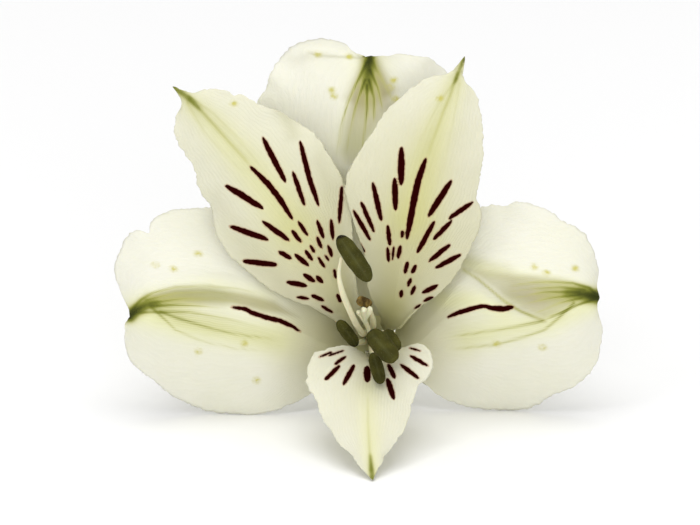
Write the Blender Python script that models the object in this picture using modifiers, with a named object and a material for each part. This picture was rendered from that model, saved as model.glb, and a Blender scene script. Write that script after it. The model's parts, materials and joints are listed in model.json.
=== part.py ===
"""One alstroemeria bloom on its cut flower stalk, lying on its side.

The bloom is drawn in its own frame: +X to the right of its face, +Y up its face and +Z out of its
face, with the middle of the petals' foot at the origin. An empty then lays it down: the stalk and
the low edges of the bloom touch the surface, and the face looks out along -Y and a little up.
"""

import math

import bmesh
import bpy
from mathutils import Vector

# Driving dimensions, in metres and radians.
BLOOM_WIDTH = 0.0662
BLADE_THICKNESS = 0.00065
OUTER_RING = 0.0031
INNER_RING = 0.0021
OUTER_FOOT_HALF = 0.0013
INNER_FOOT_HALF = 0.0009
FOOT_GAP = 0.0003
FILAMENT_RING = 0.00115
FILAMENT_RADIUS = 0.00044
STYLE_RADIUS = 0.00035
OVARY_LENGTH = 0.0085
OVARY_RADIUS = 0.0034
OVARY_RIBS = 6
RIB_HEIGHT = 0.12
STALK_RADIUS = 0.0012
STALK_LENGTH = 0.048
STALK_BEND = 0.0055
STALK_SWAY = 0.0035
FACE_ELEVATION = math.radians(19.3)

# The face is read on a grid of squares, GRID_ACROSS of them over the bloom's width. A point is
# (column, row, height in millimetres), with rows counted downwards and heights out of the face.
GRID_ACROSS = 487
GRID_CENTRE = (372, 338)
SQUARE = BLOOM_WIDTH / GRID_ACROSS
MM = 0.001

# How finely the solids are made.
TEPAL_ROWS = 24
TEPAL_COLUMNS = 12
OVARY_RINGS = 12
STALK_RINGS = 16
STALK_SIDES = 24
LINE_POINTS = 161
FILAMENT_POINTS = 12
ANTHER_SEGMENTS = 12
ANTHER_RINGS = 8

# Each tepal is held by three curves from its foot to its tip: its midrib and its two margins.
# "turn" is where its foot stands round the bloom, in degrees from the right of the face.
TEPALS = {
    "outer_tepal_top": {
        "turn": 90,
        "midrib": [(371, 300, 8), (371, 280, 14.5), (370, 240, 20), (369, 180, 24), (370, 115, 26)],
        "tip": (371, 56, 25),
        "left": [
            (355, 298, 8), (343, 278, 14), (312, 235, 18), (272, 170, 20), (257, 115, 20.5),
            (263, 84, 20.5), (276, 62, 20), (294, 45, 19.5), (318, 39, 19.5), (341, 43, 20.5),
            (351, 51, 22.5), (361, 57, 24.5),
        ],
        "right": [
            (387, 298, 8), (399, 278, 14), (430, 235, 18), (458, 175, 20), (463, 120, 20.5),
            (456, 88, 20.5), (445, 71, 20.5), (432, 61, 21), (415, 56, 21.5), (398, 54, 22),
            (386, 56, 23.5), (377, 57, 24.5),
        ],
    },
    "outer_tepal_left": {
        "turn": 210,
        "midrib": [
            (342, 351, 8), (326, 346, 14), (295, 331, 19), (255, 314, 22.5), (215, 306, 24),
            (175, 305, 24), (150, 309, 23),
        ],
        "tip": (131, 317.5, 21.5),
        "left": [
            (350, 362, 8), (337, 375, 11.5), (319, 389, 12.2), (298, 401, 12.2), (270, 411, 12.2),
            (245, 414.5, 12.2), (218, 413, 12.2), (190, 406, 12.5), (165, 393, 13.5), (147, 378, 14.5),
            (133, 358, 16), (125, 340, 18), (123, 328, 20), (126, 321, 21),
        ],
        "right": [
            (344, 322, 8), (326, 298, 13.3), (290, 262, 16.5), (255, 235, 18), (232, 215, 18.5),
            (214, 208, 18.5), (200, 207, 18.5), (180, 209, 18.5), (163, 214, 18.5), (152, 223, 18.5),
            (149, 232, 19), (141, 231, 18.5), (133, 231, 18.5), (122, 245, 18), (115, 262, 18),
            (114, 272, 18), (118, 287, 18.5), (124, 301, 20), (129, 311, 21.2),
        ],
    },
    "outer_tepal_right": {
        "turn": 330,
        "midrib": [
            (402, 351, 8), (420, 343, 14), (447, 320, 19), (480, 308, 22), (515, 306, 23.5),
            (550, 299, 24), (578, 293.5, 23),
        ],
        "tip": (599, 299, 21.5),
        "left": [
            (400, 322, 8), (420, 296, 13.3), (452, 250, 16.7), (468, 222, 18.3), (480, 209, 18.6),
            (490, 206, 18.6), (503, 205, 18.6), (515, 202.5, 18.6), (533, 204, 18.5), (548, 211, 18.5),
            (565, 222.5, 18.5), (583, 232, 18.4), (590, 247, 18.2), (597, 262, 18.2), (599, 272, 18.5),
            (596, 284, 19.5), (596, 293, 20.8),
        ],
        "right": [
            (394, 362, 8), (406, 372, 11.5), (420, 382, 12), (438, 394, 11.6), (460, 403, 11),
            (485, 410, 10.8), (510, 411, 10.8), (530, 408, 11.2), (548, 400, 12.3), (565, 391, 13.5),
            (583, 379, 15), (594, 364, 16), (601, 347, 17), (603, 332, 18), (598, 316, 19.5),
            (597, 306, 21),
        ],
    },
    "inner_tepal_left": {
        "turn": 150,
        "midrib": [
            (354, 324, 9), (344, 304, 17), (325, 270, 22.5), (293, 220, 26.5), (250, 166, 29.5),
            (215, 126, 31), (192, 103, 32),
        ],
        "tip": (173.5, 87.5, 32.5),
        "left": [
            (348, 331, 9), (330, 318, 15), (300, 299, 19), (262, 277, 21.5), (238, 259, 22.5),
            (224, 242, 23.5), (217, 226, 24), (212, 208, 24.5), (202, 192, 25.5), (196, 172, 27),
            (190, 158, 28), (179, 146, 29), (175, 132, 30), (177, 117, 30.5), (181, 109, 31),
            (186, 104, 31.5), (180, 96, 32.2),
        ],
        "right": [
            (362, 316, 9), (357, 290, 17), (351, 255, 22), (347, 222, 25), (343, 190, 27),
            (330, 162, 28.5), (314, 143, 29.2), (299, 126, 29.6), (282, 112, 30), (264, 105, 30.3),
            (255, 103, 30.4), (247, 98, 30.5), (239, 95, 30.5), (234, 97.5, 30.6), (228, 92, 30.6),
            (215, 90, 30.8), (205, 91, 31), (197, 95, 31.4), (192, 97, 31.8), (184, 92, 32.2),
        ],
    },
    "inner_tepal_right": {
        "turn": 30,
        "midrib": [
            (389, 323, 9), (394, 303, 16), (400, 270, 22), (408, 235, 26), (418, 190, 29),
            (430, 146, 31), (445, 105, 32), (455, 77, 32.5),
        ],
        "tip": (464, 57.5, 33),
        "left": [
            (381, 315, 9), (375, 290, 16), (365, 255, 21.5), (357, 222, 25.5), (354, 193, 28),
            (355, 168, 29.5), (364, 149, 30.2), (376, 131, 30.6), (389, 110, 31), (403, 94, 31.3),
            (414, 87, 31.5), (426, 81, 31.6), (437, 77, 31.7), (447, 78, 32), (452, 76, 32.2),
            (457, 67, 32.6),
        ],
        "right": [
            (396, 330, 9), (411, 320, 15), (434, 295, 19), (453, 270, 21.5), (468, 243, 23.5),
            (478, 220, 25), (480, 209, 25.5), (476, 203, 26), (475, 190, 27), (479, 180, 27.5),
            (482, 165, 28.5), (482, 145, 29.5), (480, 120, 30.5), (477, 102, 31), (473, 91, 31.5),
            (465, 86, 31.8), (460, 80, 32.1), (461, 70, 32.6),
        ],
    },
    "inner_tepal_lower": {
        "turn": 270,
        "midrib": [
            (372, 358, 9), (372, 364, 17), (370, 371, 22.5), (368, 384, 27.5), (367.5, 405, 32),
            (368.5, 435, 35), (370, 462, 36.3),
        ],
        "tip": (373, 478, 37),
        "left": [
            (364, 356, 9), (361, 353, 16), (350, 348, 21), (335, 347, 23.5), (320, 350, 25),
            (311, 358, 26), (308, 372, 27), (309, 386, 28), (314, 398, 29), (321, 415, 30.5),
            (330, 429, 32), (340, 444, 33.5), (352, 452, 34.5), (356, 461, 35.3), (365, 469, 36.2),
        ],
        "right": [
            (380, 356, 9), (383, 353, 16), (395, 347, 21), (410, 344, 23.5), (423, 347, 25),
            (431, 356, 26), (432, 367, 27), (427, 377, 27.8), (418, 386, 28.5), (413, 398, 29.3),
            (408, 418, 31), (402, 434, 32.5), (393, 446, 34), (382, 453, 35), (381, 461, 35.5),
            (376, 468, 36.2),
        ],
    },
}

# Each stamen: where its foot stands round the bloom in degrees, its filament's way from the foot,
# its anther from its held end to its free end, and the anther's thickness in millimetres.
STAMENS = [
    {"turn": 150, "across": 2.6, "anther": [(338.5, 236, 33.9), (370, 281, 34.9)],
     "way": [(364.6, 333.8, 10), (361.5, 333, 17), (354, 320, 23), (343, 294, 28.4), (339, 275, 30.2),
             (341, 257, 31.2)]},
    {"turn": 330, "across": 2.9, "anther": [(370, 331.5, 28.5), (395, 360, 33.8)],
     "way": [(379.4, 342.3, 10), (379.5, 345, 19), (378.5, 347, 27.0)]},
    {"turn": 270, "across": 1.9, "anther": [(373, 353, 25.5), (381, 383, 30.2)],
     "way": [(372, 346.5, 10), (371.5, 350, 18), (372, 352, 24)]},
    {"turn": 210, "across": 1.8, "anther": [(357, 346, 18.9), (338, 321, 22.4)],
     "way": [(364.6, 342.3, 10), (361, 342.8, 14.5), (357.8, 344.6, 17.3)]},
    {"turn": 90, "across": 1.5, "anther": [(371, 305.5, 20.6), (357.5, 299.5, 23)],
     "way": [(372, 329.5, 10), (373.5, 325, 14), (371.5, 311, 18.9)]},
    {"turn": 30, "across": 2.2, "anther": [(384.5, 331.5, 24.5), (397.5, 350, 28.5)],
     "way": [(379.4, 333.8, 10), (382.5, 332, 16), (384, 330, 23)]},
]
STYLE_WAY = [(372, 338, 10), (371.5, 338, 15), (367, 326, 18), (363, 318.5, 20.5), (357.5, 311, 21.8)]


def clear_scene():
    for obj in list(bpy.data.objects):
        bpy.data.objects.remove(obj)


def face_point(column, row, height):
    """A point of the face grid in the bloom's own frame, in metres."""
    right = (column - GRID_CENTRE[0]) * SQUARE
    up = (GRID_CENTRE[1] - row) * SQUARE
    return Vector((right, up, height * MM))


def curve_through(points, count):
    """count points evenly spaced along a smooth curve through the given ones."""
    ends = [2 * points[0] - points[1], *points, 2 * points[-1] - points[-2]]
    fine = []
    steps = 12
    for a, b, c, d in zip(ends, ends[1:], ends[2:], ends[3:]):
        for i in range(steps):
            t = i / steps
            bend = (2 * a - 5 * b + 4 * c - d) * t**2 + (3 * b - a - 3 * c + d) * t**3
            fine.append(0.5 * (2 * b + (c - a) * t + bend))
    fine.append(points[-1])
    along = [0.0]
    for a, b in zip(fine, fine[1:]):
        along.append(along[-1] + (b - a).length)
    spaced = []
    at = 0
    for i in range(count):
        target = along[-1] * i / (count - 1)
        while at < len(fine) - 2 and along[at + 1] < target:
            at += 1
        share = (target - along[at]) / max(along[at + 1] - along[at], 1e-12)
        spaced.append(fine[at].lerp(fine[at + 1], min(share, 1.0)))
    return spaced


def material(name, colour, roughness):
    made = bpy.data.materials.new(name)
    made.use_nodes = True
    shader = made.node_tree.nodes["Principled BSDF"]
    shader.inputs["Base Color"].default_value = (*colour, 1)
    shader.inputs["Roughness"].default_value = roughness
    shader.inputs["Metallic"].default_value = 0
    return made


def add_part(name, data, look, bloom, parts):
    obj = bpy.data.objects.new(name, data)
    parts.objects.link(obj)
    obj.parent = bloom
    data.materials.append(look)
    return obj


def foot_of(turn, ring, half_width):
    """The middle, left and right points of a tepal's foot on its ring, seen from the bloom's middle."""
    angle = math.radians(turn)
    outward = Vector((math.cos(angle), math.sin(angle), 0))
    left = Vector((-outward.y, outward.x, 0)) * half_width
    middle = outward * ring + Vector((0, 0, FOOT_GAP))
    return middle, middle + left, middle - left


def tepal_mesh(name, tepal):
    """The tepal's open surface: rows run from foot to tip, columns from margin to margin."""
    outer = name.startswith("outer")
    ring, half_width = (OUTER_RING, OUTER_FOOT_HALF) if outer else (INNER_RING, INNER_FOOT_HALF)
    middle, left_foot, right_foot = foot_of(tepal["turn"], ring, half_width)
    tip = face_point(*tepal["tip"])
    curves = {}
    for side, foot in (("midrib", middle), ("left", left_foot), ("right", right_foot)):
        points = [foot, *(face_point(*p) for p in tepal[side]), tip]
        curves[side] = curve_through(points, TEPAL_ROWS + 1)
    grid = bmesh.new()
    bmesh.ops.create_grid(grid, x_segments=TEPAL_COLUMNS, y_segments=TEPAL_ROWS, size=1)
    for vertex in grid.verts:
        across = vertex.co.x
        row = round((vertex.co.y + 1) / 2 * TEPAL_ROWS)
        rib = curves["midrib"][row]
        margin = curves["right" if across > 0 else "left"][row]
        share = abs(across)
        place = rib.lerp(margin, share)
        # The blade stays level beside its midrib and falls away towards its margins.
        place.z = rib.z + (margin.z - rib.z) * share**1.5
        vertex.co = place
    bmesh.ops.remove_doubles(grid, verts=grid.verts, dist=1e-6)
    bmesh.ops.recalc_face_normals(grid, faces=grid.faces)
    mesh = bpy.data.meshes.new(name)
    grid.to_mesh(mesh)
    grid.free()
    mesh.shade_smooth()
    return mesh


def add_tepals(bloom, parts):
    look = material("tepal_white", (0.86, 0.86, 0.76), 0.55)
    for name, tepal in TEPALS.items():
        obj = add_part(name, tepal_mesh(name, tepal), look, bloom, parts)
        obj.modifiers.new("Triangulate", "TRIANGULATE")
        wall = obj.modifiers.new("Solidify", "SOLIDIFY")
        wall.thickness = BLADE_THICKNESS
        wall.offset = 0


def tube(name, points, radius):
    """A round-ended thread along the points, as a bevelled curve with filled caps."""
    curve = bpy.data.curves.new(name, "CURVE")
    curve.dimensions = "3D"
    curve.bevel_depth = radius
    curve.bevel_resolution = 2
    curve.use_fill_caps = True
    spline = curve.splines.new("POLY")
    spline.points.add(len(points) - 1)
    for target, point in zip(spline.points, points):
        target.co = (*point, 1)
    return curve


def anther_mesh(name, held, free, across):
    """A long pollen sac pair: an egg shape with a groove down its two sides."""
    shape = bmesh.new()
    bmesh.ops.create_uvsphere(shape, u_segments=ANTHER_SEGMENTS, v_segments=ANTHER_RINGS, radius=1)
    half_length = (free - held).length / 2
    turn = (free - held).to_track_quat("Z", "Y")
    for vertex in shape.verts:
        x, y, z = vertex.co
        # Blunter ends than a ball's, then a waist between the two sacs.
        blunt = (1 - abs(z) ** 3) ** 0.5 / max((1 - z * z) ** 0.5, 1e-6) if abs(z) < 0.999 else 1
        groove = 1 - 0.22 * math.exp(-((x / 0.3) ** 2))
        place = Vector((x * blunt * across / 2, y * blunt * groove * across * 0.4, z * half_length))
        vertex.co = turn @ place + (held + free) / 2
    mesh = bpy.data.meshes.new(name)
    shape.to_mesh(mesh)
    shape.free()
    mesh.shade_smooth()
    return mesh


def add_stamens(bloom, parts):
    thread = material("filament_cream", (0.85, 0.83, 0.7), 0.5)
    sac = material("anther_olive", (0.13, 0.15, 0.06), 0.7)
    for number, stamen in enumerate(STAMENS, 1):
        angle = math.radians(stamen["turn"])
        foot = Vector((math.cos(angle), math.sin(angle), 0)) * FILAMENT_RING
        foot.z = FOOT_GAP
        points = curve_through([foot, *(face_point(*p) for p in stamen["way"])], FILAMENT_POINTS)
        thread_name = f"filament_{number}"
        add_part(thread_name, tube(thread_name, points, FILAMENT_RADIUS), thread, bloom, parts)
        held, free = (face_point(*p) for p in stamen["anther"])
        sac_name = f"anther_{number}"
        add_part(sac_name, anther_mesh(sac_name, held, free, stamen["across"] * MM), sac, bloom, parts)


def add_style(bloom, parts):
    look = material("style_cream", (0.85, 0.84, 0.68), 0.5)
    way = [Vector((0, 0, FOOT_GAP)), *(face_point(*p) for p in STYLE_WAY)]
    add_part("style", tube("style", curve_through(way, FILAMENT_POINTS), STYLE_RADIUS), look, bloom, parts)


def stalk_line():
    """The middle line of ovary and stalk: straight behind the bloom, then level along the surface."""
    level = Vector((0, math.sin(FACE_ELEVATION), -math.cos(FACE_ELEVATION)))
    bend = Vector((0, 0, -OVARY_LENGTH - STALK_BEND))
    aside = Vector((STALK_SWAY, 0, 0))
    way = [
        Vector((0, 0, 0)),
        Vector((0, 0, -OVARY_LENGTH / 2)),
        Vector((0, 0, -OVARY_LENGTH)),
        bend,
        bend + level * 0.3 * STALK_LENGTH + aside * 0.25,
        bend + level * 0.65 * STALK_LENGTH + aside * 0.8,
        bend + level * STALK_LENGTH + aside,
    ]
    return curve_through(way, LINE_POINTS)


def rod_mesh(name, line, rings):
    """A closed rod round the line. Each ring is (distance down the line, radius, how deep its ribs are)."""
    spacing = sum((b - a).length for a, b in zip(line, line[1:])) / (len(line) - 1)
    shape = bmesh.new()
    made = []
    for down, girth, ribs in rings:
        at = min(down / spacing, len(line) - 1.001)
        low = int(at)
        centre = line[low].lerp(line[low + 1], at - low)
        turn = (line[low + 1] - line[low]).to_track_quat("-Z", "Y")
        ring = []
        for side in range(STALK_SIDES):
            angle = 2 * math.pi * side / STALK_SIDES
            radius = girth * (1 + ribs * (math.cos(OVARY_RIBS * angle) - 1) / 2)
            spoke = Vector((math.cos(angle) * radius, math.sin(angle) * radius, 0))
            ring.append(shape.verts.new(centre + turn @ spoke))
        made.append(ring)
    for upper, lower in zip(made, made[1:]):
        for side in range(STALK_SIDES):
            after = (side + 1) % STALK_SIDES
            shape.faces.new((upper[side], upper[after], lower[after], lower[side]))
    shape.faces.new(made[0])
    shape.faces.new(made[-1])
    bmesh.ops.recalc_face_normals(shape, faces=shape.faces)
    mesh = bpy.data.meshes.new(name)
    shape.to_mesh(mesh)
    shape.free()
    mesh.shade_smooth()
    return mesh


def add_stalk(bloom, parts):
    """The ribbed ovary narrows down to the round stalk, a hair's breadth in front of it."""
    line = stalk_line()
    length = sum((b - a).length for a, b in zip(line, line[1:]))
    ovary = []
    for index in range(OVARY_RINGS + 1):
        down = OVARY_LENGTH * index / OVARY_RINGS
        swell = (1 - index / OVARY_RINGS) ** 0.62
        girth = STALK_RADIUS + (OVARY_RADIUS - STALK_RADIUS) * swell
        ovary.append((down, girth, RIB_HEIGHT * min(1, swell * 2)))
    stalk = []
    start = OVARY_LENGTH + FOOT_GAP
    for index in range(STALK_RINGS + 1):
        stalk.append((start + (length - start) * index / STALK_RINGS, STALK_RADIUS, 0))
    green = material("ovary_green", (0.22, 0.34, 0.09), 0.5)
    add_part("ovary", rod_mesh("ovary", line, ovary), green, bloom, parts)
    light_green = material("stalk_green", (0.24, 0.36, 0.12), 0.5)
    add_part("flower_stalk", rod_mesh("flower_stalk", line, stalk), light_green, bloom, parts)


def lay_down(bloom, parts):
    """Turns the face up and out, then puts the whole on the surface, middle of its box at the origin."""
    bloom.rotation_euler = (math.pi / 2 - FACE_ELEVATION, 0, 0)
    bpy.context.view_layer.update()
    graph = bpy.context.evaluated_depsgraph_get()
    corners = []
    for obj in parts.objects:
        if obj == bloom:
            continue
        shown = obj.evaluated_get(graph)
        data = shown.to_mesh()
        corners += [shown.matrix_world @ v.co for v in data.vertices]
        shown.to_mesh_clear()
    low = Vector(min(c[axis] for c in corners) for axis in range(3))
    high = Vector(max(c[axis] for c in corners) for axis in range(3))
    bloom.location = (-(low.x + high.x) / 2, -(low.y + high.y) / 2, -low.z)


def main():
    clear_scene()
    parts = bpy.data.collections.new("alstroemeria_bloom")
    bpy.context.scene.collection.children.link(parts)
    bloom = bpy.data.objects.new("bloom_frame", None)
    parts.objects.link(bloom)
    add_tepals(bloom, parts)
    add_stamens(bloom, parts)
    add_style(bloom, parts)
    add_stalk(bloom, parts)
    lay_down(bloom, parts)


main()
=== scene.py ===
"""Finishes one cut alstroemeria bloom: waved, streaked petals, stamens, style, ribbed ovary, cut stalk."""

import json
import math

import bmesh
import bpy
import numpy as np
from mathutils import Matrix, Vector, noise

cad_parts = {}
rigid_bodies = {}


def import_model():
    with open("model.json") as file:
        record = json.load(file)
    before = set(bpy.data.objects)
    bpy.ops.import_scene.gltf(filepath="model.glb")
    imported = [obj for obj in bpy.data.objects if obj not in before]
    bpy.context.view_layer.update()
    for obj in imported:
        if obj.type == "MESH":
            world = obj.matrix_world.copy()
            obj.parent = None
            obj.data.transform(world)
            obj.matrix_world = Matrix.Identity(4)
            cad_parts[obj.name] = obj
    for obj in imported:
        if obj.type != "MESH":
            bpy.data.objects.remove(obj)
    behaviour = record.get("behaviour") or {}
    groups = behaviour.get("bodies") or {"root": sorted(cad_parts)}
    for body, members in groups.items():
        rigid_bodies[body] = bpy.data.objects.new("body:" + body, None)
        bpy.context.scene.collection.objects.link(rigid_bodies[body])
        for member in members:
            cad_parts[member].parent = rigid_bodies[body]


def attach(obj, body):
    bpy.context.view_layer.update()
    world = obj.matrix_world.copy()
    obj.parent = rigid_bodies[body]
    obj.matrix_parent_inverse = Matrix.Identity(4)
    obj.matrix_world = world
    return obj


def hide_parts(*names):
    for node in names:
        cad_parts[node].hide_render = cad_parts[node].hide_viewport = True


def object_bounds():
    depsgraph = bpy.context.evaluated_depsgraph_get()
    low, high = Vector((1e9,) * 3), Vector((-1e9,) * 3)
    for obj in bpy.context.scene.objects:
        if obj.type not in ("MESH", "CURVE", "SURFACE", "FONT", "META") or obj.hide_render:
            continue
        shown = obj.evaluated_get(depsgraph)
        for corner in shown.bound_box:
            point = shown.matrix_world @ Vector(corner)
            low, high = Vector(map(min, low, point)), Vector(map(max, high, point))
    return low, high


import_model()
CAD_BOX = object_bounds()

bl_info = {
    "name": "Alstroemeria bloom",
    "version": (1, 0, 0),
    "blender": (4, 5, 0),
    "location": "View3D > Sidebar > Bloom",
    "description": "Builds the finished pieces of one cut alstroemeria bloom and its studio",
    "category": "Object",
}

# The face of the bloom is read on a grid of squares, as the solids are: a point is (column, row,
# height in millimetres), with rows counted downwards and heights out of the face.
BLOOM_WIDTH = 0.0662
GRID_ACROSS = 487
GRID_CENTRE = (372, 338)
SQUARE = BLOOM_WIDTH / GRID_ACROSS
MM = 0.001
FACE_ELEVATION = math.radians(19.3)
FACE_FOOT = Vector((0.001852, -0.009891, 0.005977))
FACE = Matrix.Translation(FACE_FOOT) @ Matrix.Rotation(math.pi / 2 - FACE_ELEVATION, 4, "X")

# Where the tepals, the filaments and the stalk stand round the bloom's foot, in metres.
OUTER_RING = 0.0031
INNER_RING = 0.0021
OUTER_FOOT_HALF = 0.0013
INNER_FOOT_HALF = 0.0009
FOOT_GAP = 0.0003
FILAMENT_RING = 0.00115
OVARY_LENGTH = 0.0085
STALK_LENGTH = 0.048
STALK_BEND = 0.0055
STALK_SWAY = 0.0035

# How finely the surfaces are made.
TEPAL_ROWS = 170
TEPAL_HALF_COLUMNS = 46
THREAD_ROWS = 240
ARM_ROWS = 60
STALK_ROWS = 641
STALK_STEP = 4

# The petals' nicks and waves: rows that smooth a margin, rows without nicks at foot and tip, and
# the breadths of nicks and waves in metres.
MARGIN_EASE = 16
PLAIN_FOOT_ROWS = 60
PLAIN_TIP_ROWS = 14
NICK = 0.0009
FINE_NICK = 0.00045
BROAD_WAVE = 0.009
SMALL_WAVE = 0.0034

# Marks on the petals, in squares of the face grid: the blunt ends of streaks, how far off they are
# still felt, the dots' size and soft edge, and the throat's middle and edge.
STREAK_BLUNT = 0.38
STREAK_REACH = 40
DOT_SIZE = 4.4
DOT_EDGE = 3.2
DOT_STRETCH = 1.25
THROAT = (389, 323)
THROAT_SQUASH = 0.8
THROAT_EDGE = (6, 38)
RIBS = 9
FINE_RIBS = 26

# The picture: its middle on the face grid, and how far off the camera stands, in metres.
VIEW_CENTRE = (350, 262.5, 25)
VIEW_COLUMNS = 700
VIEW_DISTANCE = 1.5
SENSOR_WIDTH = 36

# The studio: the strength of its even light, and each lamp's name, place, aim, size and power.
EVEN_LIGHT = 0.58
LAMPS = (
    ("top", (0.0, -0.15, 1.0), (0, 0.05, 0), 0.9, 5.1),
    ("key", (-0.5, -0.5, 0.7), (0, 0, 0.02), 0.35, 0.7),
    ("front", (0.1, -1.0, 0.25), (0, 0, 0.02), 0.75, 3.6),
)

# Each tepal is held by three curves from its foot to its tip: its midrib and its two margins.
# "turn" is where its foot stands round the bloom, in degrees from the right of the face.
# "throat" is how deep its throat's green is, and the next entry how far its cream turns to the warmer,
# darker heart colour, partly painted shade: from one distance off the throat to another, and the two
# strengths there.
# "streaks" are lines with a width. "veins", "glows" and "shades" are lines with two widths and two
# strengths, from start to end, and the "shades" lay on painted shade. "panels" are outlines of
# painted shade with a soft edge and a strength. "folds" are crests with a width and a height in
# millimetres. "dots" are single spots.
TEPALS = {}
TEPALS["outer_tepal_top"] = {
    "turn": 90, "tip": (371, 56, 25), "throat": 0.1, "warmth_and_shade": (30, 110, 0.7, 0),
    "midrib": [(371, 300, 8), (371, 280, 14.5), (370, 240, 20), (369, 180, 24), (370, 115, 26)],
    "left": [
        (355, 298, 8), (343, 278, 14), (312, 235, 18), (272, 170, 20), (257, 115, 20.5), (260, 96, 20.5),
        (267, 86, 20.5), (270, 74, 20.5), (276, 64, 20), (284, 54, 19.5), (291, 47, 19.5),
        (301, 42.5, 19.5), (311, 39.8, 19.5), (322, 39.2, 19.5), (332, 40.5, 20), (341, 42.7, 20.5),
        (347, 46, 21), (351, 50, 22), (356, 53.5, 23), (361, 56, 24), (366, 57.5, 24.6),
    ],
    "right": [
        (387, 298, 8), (399, 278, 14), (430, 235, 18), (458, 175, 20), (463, 120, 20.5), (456, 92, 20.5),
        (449, 77, 20.5), (446, 72, 20.5), (443, 68.7, 20.5), (438, 65, 20.8), (433, 60.5, 21),
        (427, 57.2, 21.3), (421, 57.2, 21.5), (414, 55.2, 21.5), (407, 55, 21.6), (397, 54.6, 22),
        (388, 56, 23.2), (380, 56.2, 24), (375, 57.5, 24.6),
    ],
    "veins": [
        ([(370, 56), (368.5, 68), (367, 80), (368, 96)], 4.5, 7, 1, 0.2),
        ([(369, 60), (369, 90), (368, 125)], 9, 12, 0.4, 0.12),
        ([(367, 85), (367, 110), (363, 145), (359, 165)], 1.5, 1.2, 0.58, 0.3),
        ([(367, 62), (356, 84), (347, 104), (341, 130), (336, 160)], 1.8, 1.5, 0.6, 0.3),
        ([(365, 80), (356, 105), (349, 140), (346, 160)], 1.4, 1.2, 0.58, 0.3),
        ([(369, 80), (374, 98), (374, 125)], 1.5, 1.4, 0.58, 0.3),
        ([(370, 70), (378, 88), (383, 112)], 1.5, 1.4, 0.58, 0.3),
        ([(371, 60), (380, 75), (389, 93), (396, 107)], 2.2, 2, 0.32, 0.22),
    ],
    "glows": [([(371, 60), (366, 110), (358, 165)], 18, 24, 0.5, 0.5)],
    "shades": [
        ([(369, 58), (369, 80), (370, 112)], 7, 15, 0.75, 0.3),
        ([(369, 62), (362, 95), (355, 120)], 5, 12, 0.45, 0.15),
        ([(371, 60), (380, 76), (390, 100)], 6, 11, 0.6, 0.65),
        ([(366, 68), (357, 88), (350, 106)], 6, 9, 0.45, 0.4),
        ([(308, 52), (322, 55.5), (340, 56.5), (352, 57), (364, 59)], 1.5, 1.5, 0.25, 0.35),
    ],
    "panels": [
        ([(370, 58), (380, 71), (392, 95), (400, 106), (385, 118), (370, 140), (360, 168), (346, 168),
          (338, 152), (342, 120), (350, 98), (362, 75)], 9, 0.4),
    ],
    "folds": [
        ([(280, 60), (300, 50), (325, 47), (350, 54)], 9, 1.1),
        ([(372, 60), (366, 110), (352, 170)], 14, -1.3),
    ],
    "dots": [(394, 80), (391, 87), (396, 99), (334, 96), (332, 90), (318, 54), (349, 56.5)],
}
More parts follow.
